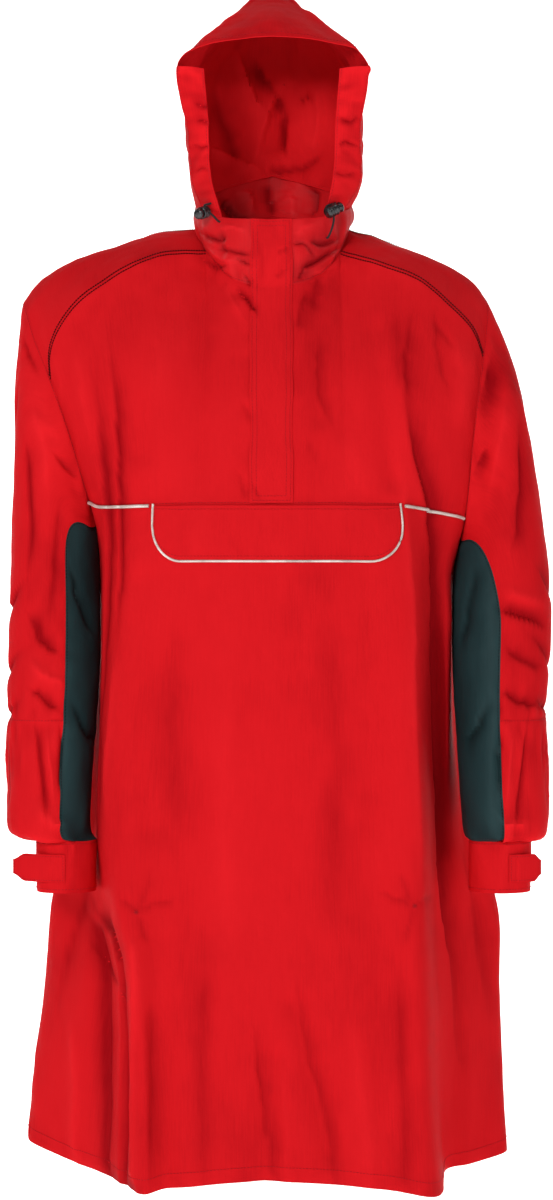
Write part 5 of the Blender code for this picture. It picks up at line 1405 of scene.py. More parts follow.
class Tree:
    """A short way to write a material's nodes."""

    def __init__(self, name: str) -> None:
        """Start a Principled material of the given name."""
        self.material = bpy.data.materials.new(name)
        self.material.use_nodes = True
        self.tree = self.material.node_tree
        self.shader = self.tree.nodes["Principled BSDF"]

    def add(self, kind: str, values: dict[str, object] | None = None,
            **settings: object) -> bpy.types.Node:
        """Add a node.

        Args:
            kind: type of node, without its common prefix.
            values: its sockets, each a number, a colour or another node's output.
            settings: its own options.

        Returns:
            The node.
        """
        node = self.tree.nodes.new("ShaderNode" + kind)
        for key, value in settings.items():
            setattr(node, key, value)
        for key, value in (values or {}).items():
            self.feed(node.inputs[key], value)
        return node

    def feed(self, socket: bpy.types.NodeSocket, value: object) -> None:
        """Give a socket a value, or link an output to it."""
        if isinstance(value, bpy.types.NodeSocket):
            self.tree.links.new(value, socket)
        else:
            socket.default_value = value

    def maths(self, kind: str, first: object, second: object = 0.0) -> bpy.types.NodeSocket:
        """Result of a maths node."""
        node = self.add("Math", operation=kind)
        self.feed(node.inputs[0], first)
        self.feed(node.inputs[1], second)
        return node.outputs[0]

    def flat(self) -> bpy.types.NodeSocket:
        """Places on the flat cloth, or along and round a cord, in metres."""
        return self.add("UVMap", uv_map="cloth").outputs[0]

    def solid(self) -> bpy.types.NodeSocket:
        """Places in the object's own frame, in metres."""
        return self.add("TexCoord").outputs["Object"]

    def noise(self, place: object, scale: float, detail: float = 3.0,
              stretch: tuple[float, float, float] = (1, 1, 1)) -> bpy.types.NodeSocket:
        """Noise on a place, drawn out by `stretch`."""
        mapped = self.add("Mapping", {"Vector": place, "Scale": stretch})
        return self.add("TexNoise", {"Vector": mapped.outputs[0], "Scale": scale,
                                     "Detail": detail}).outputs["Fac"]

    def shades(self, factor: object, stops: Sequence[tuple[float, tuple]]) -> \
            bpy.types.NodeSocket:
        """Colour ramp through the stops."""
        ramp = self.add("ValToRGB", {"Fac": factor})
        while len(ramp.color_ramp.elements) < len(stops):
            ramp.color_ramp.elements.new(0.5)
        for element, (place, colour) in zip(ramp.color_ramp.elements, stops):
            element.position = place
            element.color = (*colour, 1.0)
        return ramp.outputs["Color"]

    def bumps(self, *heights: tuple[object, float, float]) -> None:
        """Chain bump nodes, each a height, its distance in metres and its strength."""
        normal = None
        for height, distance, strength in heights:
            node = self.add("Bump", {"Height": height, "Distance": distance,
                                     "Strength": strength})
            if normal is not None:
                self.feed(node.inputs["Normal"], normal)
            normal = node.outputs[0]
        self.feed(self.shader.inputs["Normal"], normal)

    def set(self, **values: object) -> None:
        """Set the shader's sockets, named with _ for a space."""
        for key, value in values.items():
            self.feed(self.shader.inputs[key.replace("_", " ")], value)


@dataclass(frozen=True)
class ClothFinish:
    """Coated plain weave: fine upright ribs, faint streaks, soft gloss on the crests, painted
    shade in the folds' troughs and painted light on their crests.
    """

    name: str
    slot: str
    # Ramp colours: painted shade for troughs, the cloth's own colour, painted light for crests
    deep: tuple[float, float, float]
    full: tuple[float, float, float]
    lit: tuple[float, float, float]
    roughness: float = 0.50
    gloss: float = 0.004

    def material(self) -> bpy.types.Material:
        """Build the material."""
        tree = Tree(self.name)
        flat = tree.flat()
        solid = tree.solid()
        # crest carries each fold's push, which paints shade into troughs and light onto crests
        crest = tree.add("Attribute", attribute_name="crest").outputs["Fac"]
        streaks = tree.noise(flat, 1.0, 2.0, (620, 26, 1))
        cloud = tree.noise(solid, 7.0, 4.0)
        # tone mixes that painted fold shade with random streaks and cloud
        tone = tree.maths("ADD", tree.maths("MULTIPLY", crest, 0.66),
                          tree.maths("ADD", tree.maths("MULTIPLY", streaks, 0.16),
                                     tree.maths("MULTIPLY", cloud, 0.24)))
        colour = tree.shades(tone, ((0.18, self.deep), (0.52, self.full), (0.92, self.lit)))
        threads = [tree.add("TexWave", {"Vector": flat, "Scale": 420.0, "Distortion": 1.2,
                                        "Detail": 1.0}, bands_direction=way).outputs["Fac"]
                   for way in "XY"]
        weave = tree.maths("MAXIMUM", *threads)
        crumple = tree.noise(solid, 75.0, 4.0, (1, 1, 0.6))
        gloss = tree.maths("ADD", self.roughness - 0.07, tree.maths("MULTIPLY", cloud, 0.14))
        tree.bumps((crumple, 0.0011, 0.55), (streaks, 0.00022, 0.5), (weave, 0.00014, 0.45))
        tree.set(Base_Color=colour, Roughness=gloss, Specular_IOR_Level=self.gloss)
        return tree.material


@dataclass(frozen=True)
class PipingFinish:
    """Off-white reflective tape round a cord: a fine rib across and faint grey wear."""

    name: str = "reflective_piping"
    slot: str = "piping_reflective"

    def material(self) -> bpy.types.Material:
        """Build the material."""
        tree = Tree(self.name)
        flat = tree.flat()
        solid = tree.solid()
        grain = tree.noise(solid, 900.0, 2.0)
        wear = tree.noise(solid, 55.0, 3.0)
        tone = tree.maths("ADD", tree.maths("MULTIPLY", grain, 0.4),
                          tree.maths("MULTIPLY", wear, 0.6))
        colour = tree.shades(tone, ((0.30, (0.36, 0.27, 0.24)), (0.52, (0.66, 0.56, 0.51)),
                                    (0.75, (0.84, 0.78, 0.73))))
        rib = tree.add("TexWave", {"Vector": flat, "Scale": 300.0}).outputs["Fac"]
        tree.bumps((grain, 0.0001, 0.5), (rib, 0.00012, 0.4))
        tree.set(Base_Color=colour, Roughness=0.36, Metallic=0.15, Sheen_Weight=0.2)
        return tree.material


@dataclass(frozen=True)
class PlasticFinish:
    """Moulded black plastic: glossy, with faint moulding ripple and patchy rubbed wear."""

    name: str = "moulded_black"
    slot: str = "lock_black"

    def material(self) -> bpy.types.Material:
        """Build the material."""
        tree = Tree(self.name)
        solid = tree.solid()
        ripple = tree.noise(solid, 420.0, 2.0)
        wear = tree.noise(solid, 160.0, 4.0)
        colour = tree.shades(wear, ((0.35, (0.006, 0.006, 0.007)), (0.75, (0.028, 0.029, 0.032))))
        gloss = tree.maths("ADD", 0.16, tree.maths("MULTIPLY", wear, 0.16))
        tree.bumps((ripple, 0.00008, 0.35))
        tree.set(Base_Color=colour, Roughness=gloss, Coat_Weight=0.25, Coat_Roughness=0.12)
        return tree.material


@dataclass(frozen=True)
class CordFinish:
    """Braided black cord: two crossing diagonal waves along its own flat places."""

    name: str = "braided_black"
    slot: str = "lock_black"

    def material(self) -> bpy.types.Material:
        """Build the material."""
        tree = Tree(self.name)
        flat = tree.flat()
        strands = [tree.add("TexWave", {
            "Vector": tree.add("Mapping", {"Vector": flat, "Rotation": (0, 0, turn)}).outputs[0],
            "Scale": 330.0}).outputs["Fac"] for turn in (0.8, -0.8)]
        braid = tree.maths("MAXIMUM", *strands)
        colour = tree.shades(braid, ((0.2, (0.006, 0.006, 0.007)), (0.9, (0.022, 0.022, 0.025))))
        tree.bumps((braid, 0.0003, 0.8))
        tree.set(Base_Color=colour, Roughness=0.6, Specular_IOR_Level=0.2)
        return tree.material


@dataclass(frozen=True)
class ThreadFinish:
    """Polyester sewing thread, with the lay of its twist as a fine wave."""

    name: str
    slot: str
    colour: tuple[float, float, float]

    def material(self) -> bpy.types.Material:
        """Build the material."""
        tree = Tree(self.name)
        solid = tree.solid()
        lay = tree.add("TexWave", {"Vector": solid, "Scale": 700.0},
                       bands_direction="DIAGONAL").outputs["Fac"]
        dim = tuple(0.6 * value for value in self.colour)
        tree.bumps((lay, 0.0001, 0.5))
        tree.set(Base_Color=tree.shades(lay, ((0.2, dim), (0.8, self.colour))), Roughness=0.6,
                 Specular_IOR_Level=0.05)
        return tree.material


# Each cloth's three colours: painted shade in troughs, its own colour, painted light on crests
RED_CLOTH = ClothFinish("red_coated_cloth", "cloth_red", (0.30, 0.003, 0.006),
                        (0.58, 0.0085, 0.0125), (0.70, 0.013, 0.018))
RED_FACING = ClothFinish("red_collar_cloth", "cloth_red", (0.26, 0.003, 0.006),
                         (0.56, 0.0085, 0.0125), (0.72, 0.014, 0.020), 0.44, 0.06)
TEAL_CLOTH = ClothFinish("dark_green_cloth", "cloth_teal", (0.004, 0.013, 0.014),
                         (0.011, 0.034, 0.037), (0.020, 0.055, 0.058), 0.50, 0.12)
PIPING = PipingFinish()
PLASTIC = PlasticFinish()
CORD = CordFinish()
RED_THREAD = ThreadFinish("red_thread", "cloth_red", (0.42, 0.012, 0.018))
DARK_THREAD = ThreadFinish("dark_thread", "cloth_teal", (0.012, 0.002, 0.003))
Finish = ClothFinish | PipingFinish | PlasticFinish | CordFinish | ThreadFinish


@dataclass
class Mesh:
    """Points, four-sided faces, flat places and painted fold shade of one piece, put together as
    arrays.
    """

    points: Array
    faces: Array
    flat: Array
    crest: Array

    @staticmethod
    def joined(parts: Sequence["Mesh"]) -> "Mesh":
        """Several meshes as one."""
        starts = np.cumsum([0, *[len(part.points) for part in parts[:-1]]])
        return Mesh(np.concatenate([part.points for part in parts]),
                    np.concatenate([part.faces + start for part, start in zip(parts, starts)]),
                    np.concatenate([part.flat for part in parts]),
                    np.concatenate([part.crest for part in parts]))

    def outward(self) -> "Mesh":
        """The closed mesh with its faces turned out, judged by its signed volume."""
        a, b, c, d = (self.points[self.faces[:, k]] for k in range(4))
        volume = np.sum(a * np.cross(b, c)) + np.sum(a * np.cross(c, d))
        return self if volume > 0 else Mesh(self.points, self.faces[:, ::-1], self.flat,
                                            self.crest)


def quads(index: Array) -> Array:
    """Four-sided faces between the rows and columns of a grid of point numbers."""
    return np.stack([index[:-1, :-1], index[:-1, 1:], index[1:, 1:], index[1:, :-1]],
                    axis=-1).reshape(-1, 4)


def wall(grid: Array, normals: Array, thickness: float, flat: Array, crest: Array,
         closed: bool = False) -> Mesh:
    """A closed wall of even thickness round a grid: mid points plus and less half of it.

    Args:
        grid: rows and columns of points in the middle of the wall.
        normals: outward directions there.
        thickness: of the wall.
        flat: flat places of the points.
        crest: a value for each point, from trough to crest, for the painted fold shade.
        closed: whether the last column joins the first.

    Returns:
        The wall.
    """
    rows, columns = grid.shape[:2]
    size = rows * columns
    index = np.arange(size).reshape(rows, columns)
    index = np.concatenate([index, index[:, :1]], axis=1) if closed else index
    outer = np.stack([index[:-1, :-1], index[1:, :-1], index[1:, 1:], index[:-1, 1:]],
                     axis=-1).reshape(-1, 4)
    if closed:
        rims = [index[0], index[-1, ::-1]]
    else:
        rims = [np.concatenate([index[0], index[1:, -1], index[-1, -2::-1], index[-2::-1, 0]])]
    sides = [np.stack([rim[:-1], rim[1:], rim[1:] + size, rim[:-1] + size], axis=-1)
             for rim in rims]
    faces = np.concatenate([outer, outer[:, ::-1] + size, *sides])
    half = normals * thickness / 2
    points = np.concatenate([(grid + half).reshape(-1, 3), (grid - half).reshape(-1, 3)])
    # The inner face takes 1 - crest, so its painted shade follows the folds as seen from inside
    return Mesh(points, faces, np.tile(flat.reshape(-1, 2), (2, 1)),
                np.concatenate([crest.ravel(), 1 - crest.ravel()])).outward()


def frames(path: Array) -> tuple[Array, Array]:
    """Two unit directions square to a path at each of its points."""
    along = unit(np.gradient(path, axis=0))
    first = unit(np.cross(along, (0.31, 0.27, 0.91)))
    return first, np.cross(along, first)


def tube(path: Array, radius: float, sides: int = 12) -> Mesh:
    """A round tube along a path: ring points at radius (cos a, sin a), its ends drawn shut."""
    radii = np.array([0.05, *[1.0] * len(path), 0.05]) * radius
    path = np.vstack([path[:1], path, path[-1:]])
    first, second = frames(path + np.linspace(0, 1e-6, len(path))[:, None])
    first[0], first[-1], second[0], second[-1] = first[1], first[-2], second[1], second[-2]
    turn = 2 * np.pi * np.arange(sides) / sides
    ring = (np.cos(turn)[None, :, None] * first[:, None]
            + np.sin(turn)[None, :, None] * second[:, None])
    grid = path[:, None] + radii[:, None, None] * ring
    return closed_rings(grid)


def closed_rings(grid: Array) -> Mesh:
    """A closed skin over rings of points, with a point in the middle of either end."""
    rows, sides = grid.shape[:2]
    index = np.arange(rows * sides).reshape(rows, sides)
    wide = np.concatenate([index, index[:, :1]], axis=1)
    low, high = np.full((2, sides // 2), ((rows * sides,), (rows * sides + 1,)))
    turn = np.arange(0, sides, 2)
    first = np.stack([low, wide[0, turn + 2], wide[0, turn + 1], wide[0, turn]], axis=-1)
    last = np.stack([high, wide[-1, turn], wide[-1, turn + 1], wide[-1, turn + 2]], axis=-1)
    points = np.concatenate([grid.reshape(-1, 3), grid[:1].mean(axis=1), grid[-1:].mean(axis=1)])
    run = run_along(grid.mean(axis=1))
    round_ = np.arange(sides) / sides * 2 * np.pi * 0.0015
    flat = np.stack(np.broadcast_arrays(round_[None], run[:, None]), axis=-1).reshape(-1, 2)
    flat = np.concatenate([flat, [[0, 0], [0, run[-1]]]])
    faces = np.concatenate([quads(wide), first, last])
    return Mesh(points, faces, flat, np.full(len(points), 0.5)).outward()


def turned(profile: Sequence[tuple[float, float]], middle: Array, axis: Array,
           sides: int = 48) -> Mesh:
    """A turned solid: each profile row of radius and height is a ring round the axis."""
    axis = unit(np.asarray(axis, float))
    first = unit(np.cross(axis, (0.0, 0.0, 1.0)))
    second = np.cross(axis, first)
    turn = 2 * np.pi * np.arange(sides) / sides
    ring = np.cos(turn)[:, None] * first + np.sin(turn)[:, None] * second
    radius, height = np.array(profile, float).T
    grid = np.asarray(middle, float) + radius[:, None, None] * ring[None] \
        + height[:, None, None] * axis
    return closed_rings(grid)


def rounded(profile: Sequence[tuple[float, float]], times: int = 4) -> list[tuple]:
    """A profile with its corners eased: each span sampled and drawn towards its neighbours."""
    points = np.array(profile, float)
    start = (points[:-1] * 0.78 + points[1:] * 0.22)
    end = (points[:-1] * 0.22 + points[1:] * 0.78)
    share = np.linspace(0, 1, times)[1:-1, None]
    rows = [points[:1]]
    for k in range(len(points) - 1):
        rows.append(np.stack([start[k], end[k]]))
        if k + 2 < len(points):
            rows.append((1 - share) ** 2 * end[k] + 2 * share * (1 - share) * points[k + 1]
                        + share ** 2 * start[k + 1])
    return [tuple(row) for row in np.concatenate([*rows, points[-1:]])]


def stitches(line: Array, lifts: Array, length: float = 0.0030, gap: float = 0.0008,
             radius: float = 0.00034, sides: int = 5) -> Mesh:
    """A row of stitches: short capsules end to end along a line, sunk at their ends.

    Each stitch is rings at five places along it, its radius r sin(pi s) to the power 0.4.

    Args:
        line: points on the cloth's surface.
        lifts: outward directions there.
        length: of one stitch.
        gap: between two.
        radius: of the thread.
        sides: faces round it.

    Returns:
        One mesh of all the stitches.
    """
    run = run_along(line)
    count = max(int(run[-1] / (length + gap)), 1)
    starts = (np.arange(count) + 0.5) * run[-1] / count - length / 2
    share = np.array([0.0, 0.12, 0.5, 0.88, 1.0])
    places = starts[:, None] + share[None] * length
    centre = np.stack([np.interp(places, run, line[:, k]) for k in range(3)], axis=-1)
    lift = unit(np.stack([np.interp(places, run, lifts[:, k]) for k in range(3)], axis=-1))
    bow = np.sin(np.pi * share)[None, :, None]
    centre = centre + lift * radius * (1.1 * bow - 0.35)
    along = unit(centre[:, -1:] - centre[:, :1])
    side = unit(np.cross(along, lift))
    turn = 2 * np.pi * np.arange(sides) / sides
    thick = radius * np.maximum(np.sin(np.pi * share), 0.02) ** 0.4
    ring = (np.cos(turn)[:, None] * side[:, :, None] + np.sin(turn)[:, None] * lift[:, :, None])
    grid = centre[:, :, None] + thick[None, :, None, None] * ring
    size = len(share) * sides
    index = np.arange(size).reshape(len(share), sides)
    wide = np.concatenate([index, index[:, :1]], axis=1)
    faces = (quads(wide)[None] + size * np.arange(count)[:, None, None]).reshape(-1, 4)
    points = grid.reshape(-1, 3)
    return Mesh(points, faces, np.zeros((len(points), 2)), np.full(len(points), 0.5)).outward()


class Workroom:
    """Turns meshes into pieces that ride on the frame, with their finishes."""

    def __init__(self) -> None:
        """Start with no material made."""
        self.made: dict[str, bpy.types.Material] = {}

    def material(self, finish: Finish) -> bpy.types.Material:
        """The finish's material, built once."""
        if finish.name not in self.made:
            self.made[finish.name] = finish.material()
        return self.made[finish.name]

    def piece(self, name: str, mesh: Mesh, finish: Finish, body: str = "garment",
              replaces: Sequence[str] = (), sharp: float = 55.0) -> bpy.types.Object:
        """Make a piece of the poncho.

        Args:
            name: of the object.
            mesh: its points and faces.
            finish: its finish.
            body: the frame's body that it rides on.
            replaces: the frame's nodes that it stands for.
            sharp: angle in degrees from which an edge isn't smoothed over.

        Returns:
            The object.
        """
        data = bpy.data.meshes.new(name)
        data.from_pydata(mesh.points.tolist(), [], mesh.faces.tolist())
        corners = np.zeros(len(data.loops), np.int32)
        data.loops.foreach_get("vertex_index", corners)
        places = data.uv_layers.new(name="cloth")
        places.uv.foreach_set("vector", mesh.flat[corners].astype(np.float32).ravel())
        # The crest attribute paints fold shade into the cloth's colour
        crest = data.attributes.new("crest", "FLOAT", "POINT")
        crest.data.foreach_set("value", mesh.crest.astype(np.float32))
        data.materials.append(self.material(finish))
        data.shade_smooth()
        data.set_sharp_from_angle(angle=math.radians(sharp))
        item = bpy.data.objects.new(name, data)
        bpy.context.scene.collection.objects.link(item)
        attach(item, body)
        if replaces:
            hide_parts(*replaces)
        log.info("%s: %d faces", name, len(mesh.faces))
        return item

    def sheet(self, name: str, mesh: Mesh, finish: Finish) -> bpy.types.Object:
        """Make a cut piece of cloth in place of its node."""
        item = self.piece("sewn_" + name, mesh, finish, replaces=[name])
        return item


@dataclass
class Coat:
    """The sewn body, sleeves and hood: every cut piece that isn't laid on another."""

    workroom: Workroom
    skirt: Skirt = field(default_factory=Skirt)
    pieces: dict[str, Cloth] = field(default_factory=dict)

    def __post_init__(self) -> None:
        """Set out the sub-assemblies."""
        self.trunk = Trunk(self.skirt)
        self.hood = Hood(self.trunk)
        self.sleeves = {side: Sleeve(side, self.trunk) for side in Side}

    def add(self, name: str, grid: Array, core: Array, **facts: object) -> None:
        """Keep a piece, with the gathers along its edges."""
        kind = name.removesuffix("_left").removesuffix("_right")
        self.pieces[name] = Cloth(grid, core, puckers=PUCKERS.get(kind, ()), **facts)

    def cut(self) -> None:
        """Cut every piece to its form, share the seams' normals and lay the creases."""
        axis = np.array([0.0, 0.0, 1.0])
        for side in Side:
            self.add(f"chest_{side.word}", self.trunk.chest(side), np.array([0, 0, -0.35]))
            self.add(f"yoke_{side.word}", self.trunk.yoke(side), np.array([0, 0, -0.35]))
        for name, grid in (("front_lower", self.trunk.lower_front()),
                           ("back", self.trunk.back()), ("collar", self.trunk.collar())):
            self.add(name, grid, grid * axis)
        for side, sleeve in self.sleeves.items():
            zone = f"sleeve_{side.word}"
            middle = np.array([side * 0.26, -0.03, 0.0])
            for name, grid, dark in (("sleeve_upper", sleeve.upper(), False),
                                     ("sleeve_lower", sleeve.lower(), False),
                                     ("sleeve_under", sleeve.under(), True)):
                self.add(f"{name}_{side.word}", grid, middle + grid * axis, zone=zone, dark=dark)
            cuff = sleeve.cuff()
            self.add(f"cuff_{side.word}", cuff, cuff.mean(axis=1, keepdims=True), zone=zone,
                     closed=True)
        for side in Side:
            self.add(f"hood_side_{side.word}", self.hood.side_panel(side),
                     np.array([0, 0, 0.12]))
            self.add(f"hood_channel_{side.word}", self.hood.channel(side),
                     np.array([0, 0.05, 0.10]))
        for name, front in (("hood_peak", True), ("hood_centre", False)):
            self.add(name, self.hood.middle_panel(front), np.array([0, 0, 0.12]))
        share_normals(list(self.pieces.values()))
        self.creases = Creases(list(self.pieces.values()), self.trunk)
        self.creases.lay()

    def sew(self) -> None:
        """Make each piece's shell."""
        for name, cloth in self.pieces.items():
            # Painted fold shade: the push over its range gives a value from dark troughs to light
            # crests
            crest = np.clip(0.5 + cloth.shift / FOLD_SHADE_RANGE, 0, 1)
            mesh = wall(cloth.worn(), cloth.normals, CLOTH_WALL, cloth.flat_places(), crest,
                        cloth.closed)
            finish = TEAL_CLOTH if cloth.dark else RED_FACING if name == "collar" else RED_CLOTH
            self.workroom.sheet(name, mesh, finish)


@dataclass
class Overlays:
    """Pieces that lie on the coat: zip, storm flap, pocket flap, cuff tabs and piping."""

    coat: Coat
    workroom: Workroom
    lines: dict[str, tuple[Array, Array]] = field(default_factory=dict)

    def front_rows(self, worn: bool) -> dict[Side, Array]:
        """Rows of the front from the chest seam to the collar's top, on either side."""
        pieces = self.coat.pieces
        collar = pieces["collar"].worn() if worn else pieces["collar"].grid
        parts = {RIGHT: collar[1:, :NECK_FRONT + 1], LEFT: collar[1:, :-NECK_FRONT - 2:-1]}
        chests = {side: pieces[f"chest_{side.word}"] for side in Side}
        return {side: [*(chest.worn() if worn else chest.grid), *parts[side]]
                for side, chest in chests.items()}

    def lay(self, name: str, grid: Array, crest: Array) -> None:
        """Make a laid piece's shell from its worn grid, with crest values for its painted fold
        shade, and keep its lines for the stitches.
        """
        cloth = Cloth(grid, grid * (0, 0, 1))
        self.lines[name] = (grid, cloth.normals)
        shell = wall(grid, cloth.normals, FLAP_WALL, cloth.flat_places(), crest)
        self.workroom.sheet(name, shell, RED_CLOTH)

    def zip_strip(self) -> None:
        """The closed zip between the edges of the chest panels and of the collar."""
        rows = self.front_rows(worn=True)
        left, right = (np.array([row[np.argmin(np.abs(row[:, 0]))] for row in rows[side]])
                       for side in Side)
        share = np.linspace(0, 1, 5)[None, :, None]
        grid = (1 - share) * left[:, None] + share * right[:, None]
        self.lay("zip_front", grid, np.full(grid.shape[:2], 0.5))

    def storm_flap(self) -> None:
        """Storm flap: follows the front over the zip, from collar's top to chest seam."""
        rows = self.front_rows(worn=False)
        places = np.linspace(*PLACKET_EDGES, 25)
        lines = []
        for x in places:
            side = RIGHT if x > 0 else LEFT
            line = []
            for row in rows[side]:
                order = np.argsort(np.abs(row[:, 0]))
                at = np.abs(row[order, 0])
                line.append([x, *(np.interp(abs(x), at, row[order, axis]) for axis in (1, 2))])
            lines.append(line)
        grid = np.swapaxes(np.array(lines), 0, 1)
        cloth = Cloth(grid, grid * (0, 0, 1))
        lift = self.coat.creases.lift(grid, cloth.normals, "body")
        rise = run_along(grid[:, len(places) // 2])
        wave = noise(np.stack([rise / PLACKET_PITCH, np.zeros_like(rise)], axis=-1), 5)[:, None]
        across = np.linspace(-1, 1, len(places))[None]
        grid = grid + cloth.normals * lift[..., None]
        grid[..., 1] -= PLACKET_LAP - SHEET_LAP + PLACKET_WAVE * wave * np.abs(across) ** 3
        grid[0, :, 2] += PLACKET_HEMMED
        grid[..., 0] += PLACKET_SWAY * wave * across
        grid[..., 1] -= PLACKET_PUFF * (1 - across ** 6)
        # The lift paints fold shade on the flap: darker in troughs, lighter on crests
        self.lay("placket", grid, lift / 0.01 + 0.5)

    def pocket_flap(self) -> None:
        """Pocket flap with rounded lower corners, hung from the chest seam, and its piping."""
        middle, half = (FLAP_LEFT_X + FLAP_RIGHT_X) / 2, (FLAP_RIGHT_X - FLAP_LEFT_X) / 2
        turn = np.linspace(-1, 1, FLAP_COLUMNS)
        x = middle + half * (np.sin(turn * np.pi / 2) * 0.35 + turn * 0.65)
        into = np.clip((np.abs(x - middle) - (half - FLAP_CORNER)) / FLAP_CORNER, 0, 1)
        depth = FLAP_DEPTH - FLAP_CORNER_RISE * (1 - np.sqrt(1 - into**2 * 0.995))
        share = np.linspace(0, 1, FLAP_ROWS)[:, None]
        points, normals = self.coat.skirt.below_seam(x, 0.0012 + share * depth[None])
        lift = self.coat.creases.lift(points, normals, "body")
        curl = FLAP_CURL * np.sin(np.pi * share)
        grid = points + normals * (lift + FLAP_LAP - SHEET_LAP + curl)[..., None]
        # The lift paints fold shade on the flap: darker in troughs, lighter on crests
        self.lay("pocket_flap", grid, lift / 0.01 + 0.5)
        rise = np.array([0, 0, 0.003])
        left, right = grid[:, 0], grid[:, -1]
        path = np.vstack([left[:1] + rise, left[:-1], grid[-1], right[::-1][1:],
                          right[:1] + rise])
        lifts = np.vstack([normals[:1, 0], normals[:-1, 0], normals[-1], normals[::-1, -1][1:],
                           normals[:1, -1]])
        outward = unit(np.cross(np.gradient(path, axis=0), lifts))
        if np.sum(outward[FLAP_ROWS:-FLAP_ROWS, 2]) > 0:
            outward = -outward
        path = path + outward * (PIPING_RADIUS + SEAM_GAP)
        self.workroom.piece("sewn_flap_piping", tube(path, PIPING_RADIUS * FLAP_PIPING_SWELL),
                            PIPING, replaces=["flap_piping"])

    def chest_piping(self, side: Side) -> None:
        """Piping in the chest seam, from beside the flap to the armhole."""
        edge = (FLAP_RIGHT_X if side == RIGHT else -FLAP_LEFT_X) + 0.0062
        u = np.linspace(U_ZIP, U_WING - 0.016, 400)
        seam = np.abs(self.coat.skirt.surface([0.0], side * u)[0, :, 0])
        places = np.linspace(np.interp(edge, seam, u), u[-1], 60)
        points = push_folds(self.coat.skirt.surface([0.0], side * places)[0])
        along = np.gradient(points, axis=0)
        outward = unit(np.stack([along[:, 1], -along[:, 0], 0 * along[:, 0]], axis=-1) * side)
        outward[outward[:, 1] > 0.2] *= -1
        lift = self.coat.creases.lift(points, outward, "body")
        path = points + outward * (PIPING_LAP + lift)[:, None]
        self.workroom.piece(f"sewn_chest_piping_{side.word}",
                            tube(path, PIPING_RADIUS * CHEST_PIPING_SWELL), PIPING,
                            replaces=[f"chest_piping_{side.word}"])

    def cuff_tab(self, side: Side) -> None:
        """Cuff tab, a little bowed where it stands off."""
        grid = self.coat.sleeves[side].tab()
        share = np.linspace(0, 1, grid.shape[1])
        core = self.coat.pieces[f"cuff_{side.word}"].grid.mean(axis=(0, 1))
        cloth = Cloth(grid, core)
        lift = self.coat.creases.lift(grid, cloth.normals, f"sleeve_{side.word}")
        free = smooth_step((share - 0.4) / 0.3)
        bow = TAB_BOW * np.sin(np.pi * np.clip((share - 0.4) / 0.6, 0, 1))
        grid = grid + cloth.normals * (lift * (1 - free) + bow)[..., None]
        worn = Cloth(grid, core)
        self.workroom.sheet(f"cuff_tab_{side.word}",
                            wall(grid, worn.normals, TAB_WALL, worn.flat_places(),
                                 worn.shift + 0.5), RED_CLOTH)
        line, lifts = border(grid, worn.normals, 0.0022)
        self.workroom.piece(f"tab_stitching_{side.word}",
                            stitches(line + lifts * TAB_WALL / 2, lifts, 0.0024), RED_THREAD)


def border(grid: Array, normals: Array, away: float) -> tuple[Array, Array]:
    """A line round a grid, a distance in from its edges.

    Args:
        grid: rows and columns of points.
        normals: outward directions there.
        away: distance from the edges.

    Returns:
        Points and directions along the line.
    """
    rows = run_along(grid).mean(axis=1)
    columns = run_along(np.swapaxes(grid, 0, 1)).mean(axis=1)
    r0, r1 = away, rows[-1] - away
    c0, c1 = away, columns[-1] - away
    top = np.stack([np.full(60, r0), np.linspace(c0, c1, 60)], axis=-1)
    end = np.stack([np.linspace(r0, r1, 30), np.full(30, c1)], axis=-1)
    low = np.stack([np.full(60, r1), np.linspace(c1, c0, 60)], axis=-1)
    start = np.stack([np.linspace(r1, r0, 30), np.full(30, c0)], axis=-1)
    at = np.concatenate([top, end[1:], low[1:], start[1:]])
    row = np.clip(np.interp(at[:, 0], rows, np.arange(len(rows))), 0, len(rows) - 1.001)
    column = np.clip(np.interp(at[:, 1], columns, np.arange(len(columns))), 0,
                     len(columns) - 1.001)
    r, c = row.astype(int), column.astype(int)
    a, b = (row - r)[:, None], (column - c)[:, None]
    read = [(1 - a) * ((1 - b) * v[r, c] + b * v[r, c + 1])
            + a * ((1 - b) * v[r + 1, c] + b * v[r + 1, c + 1]) for v in (grid, normals)]
    return read[0], unit(read[1])


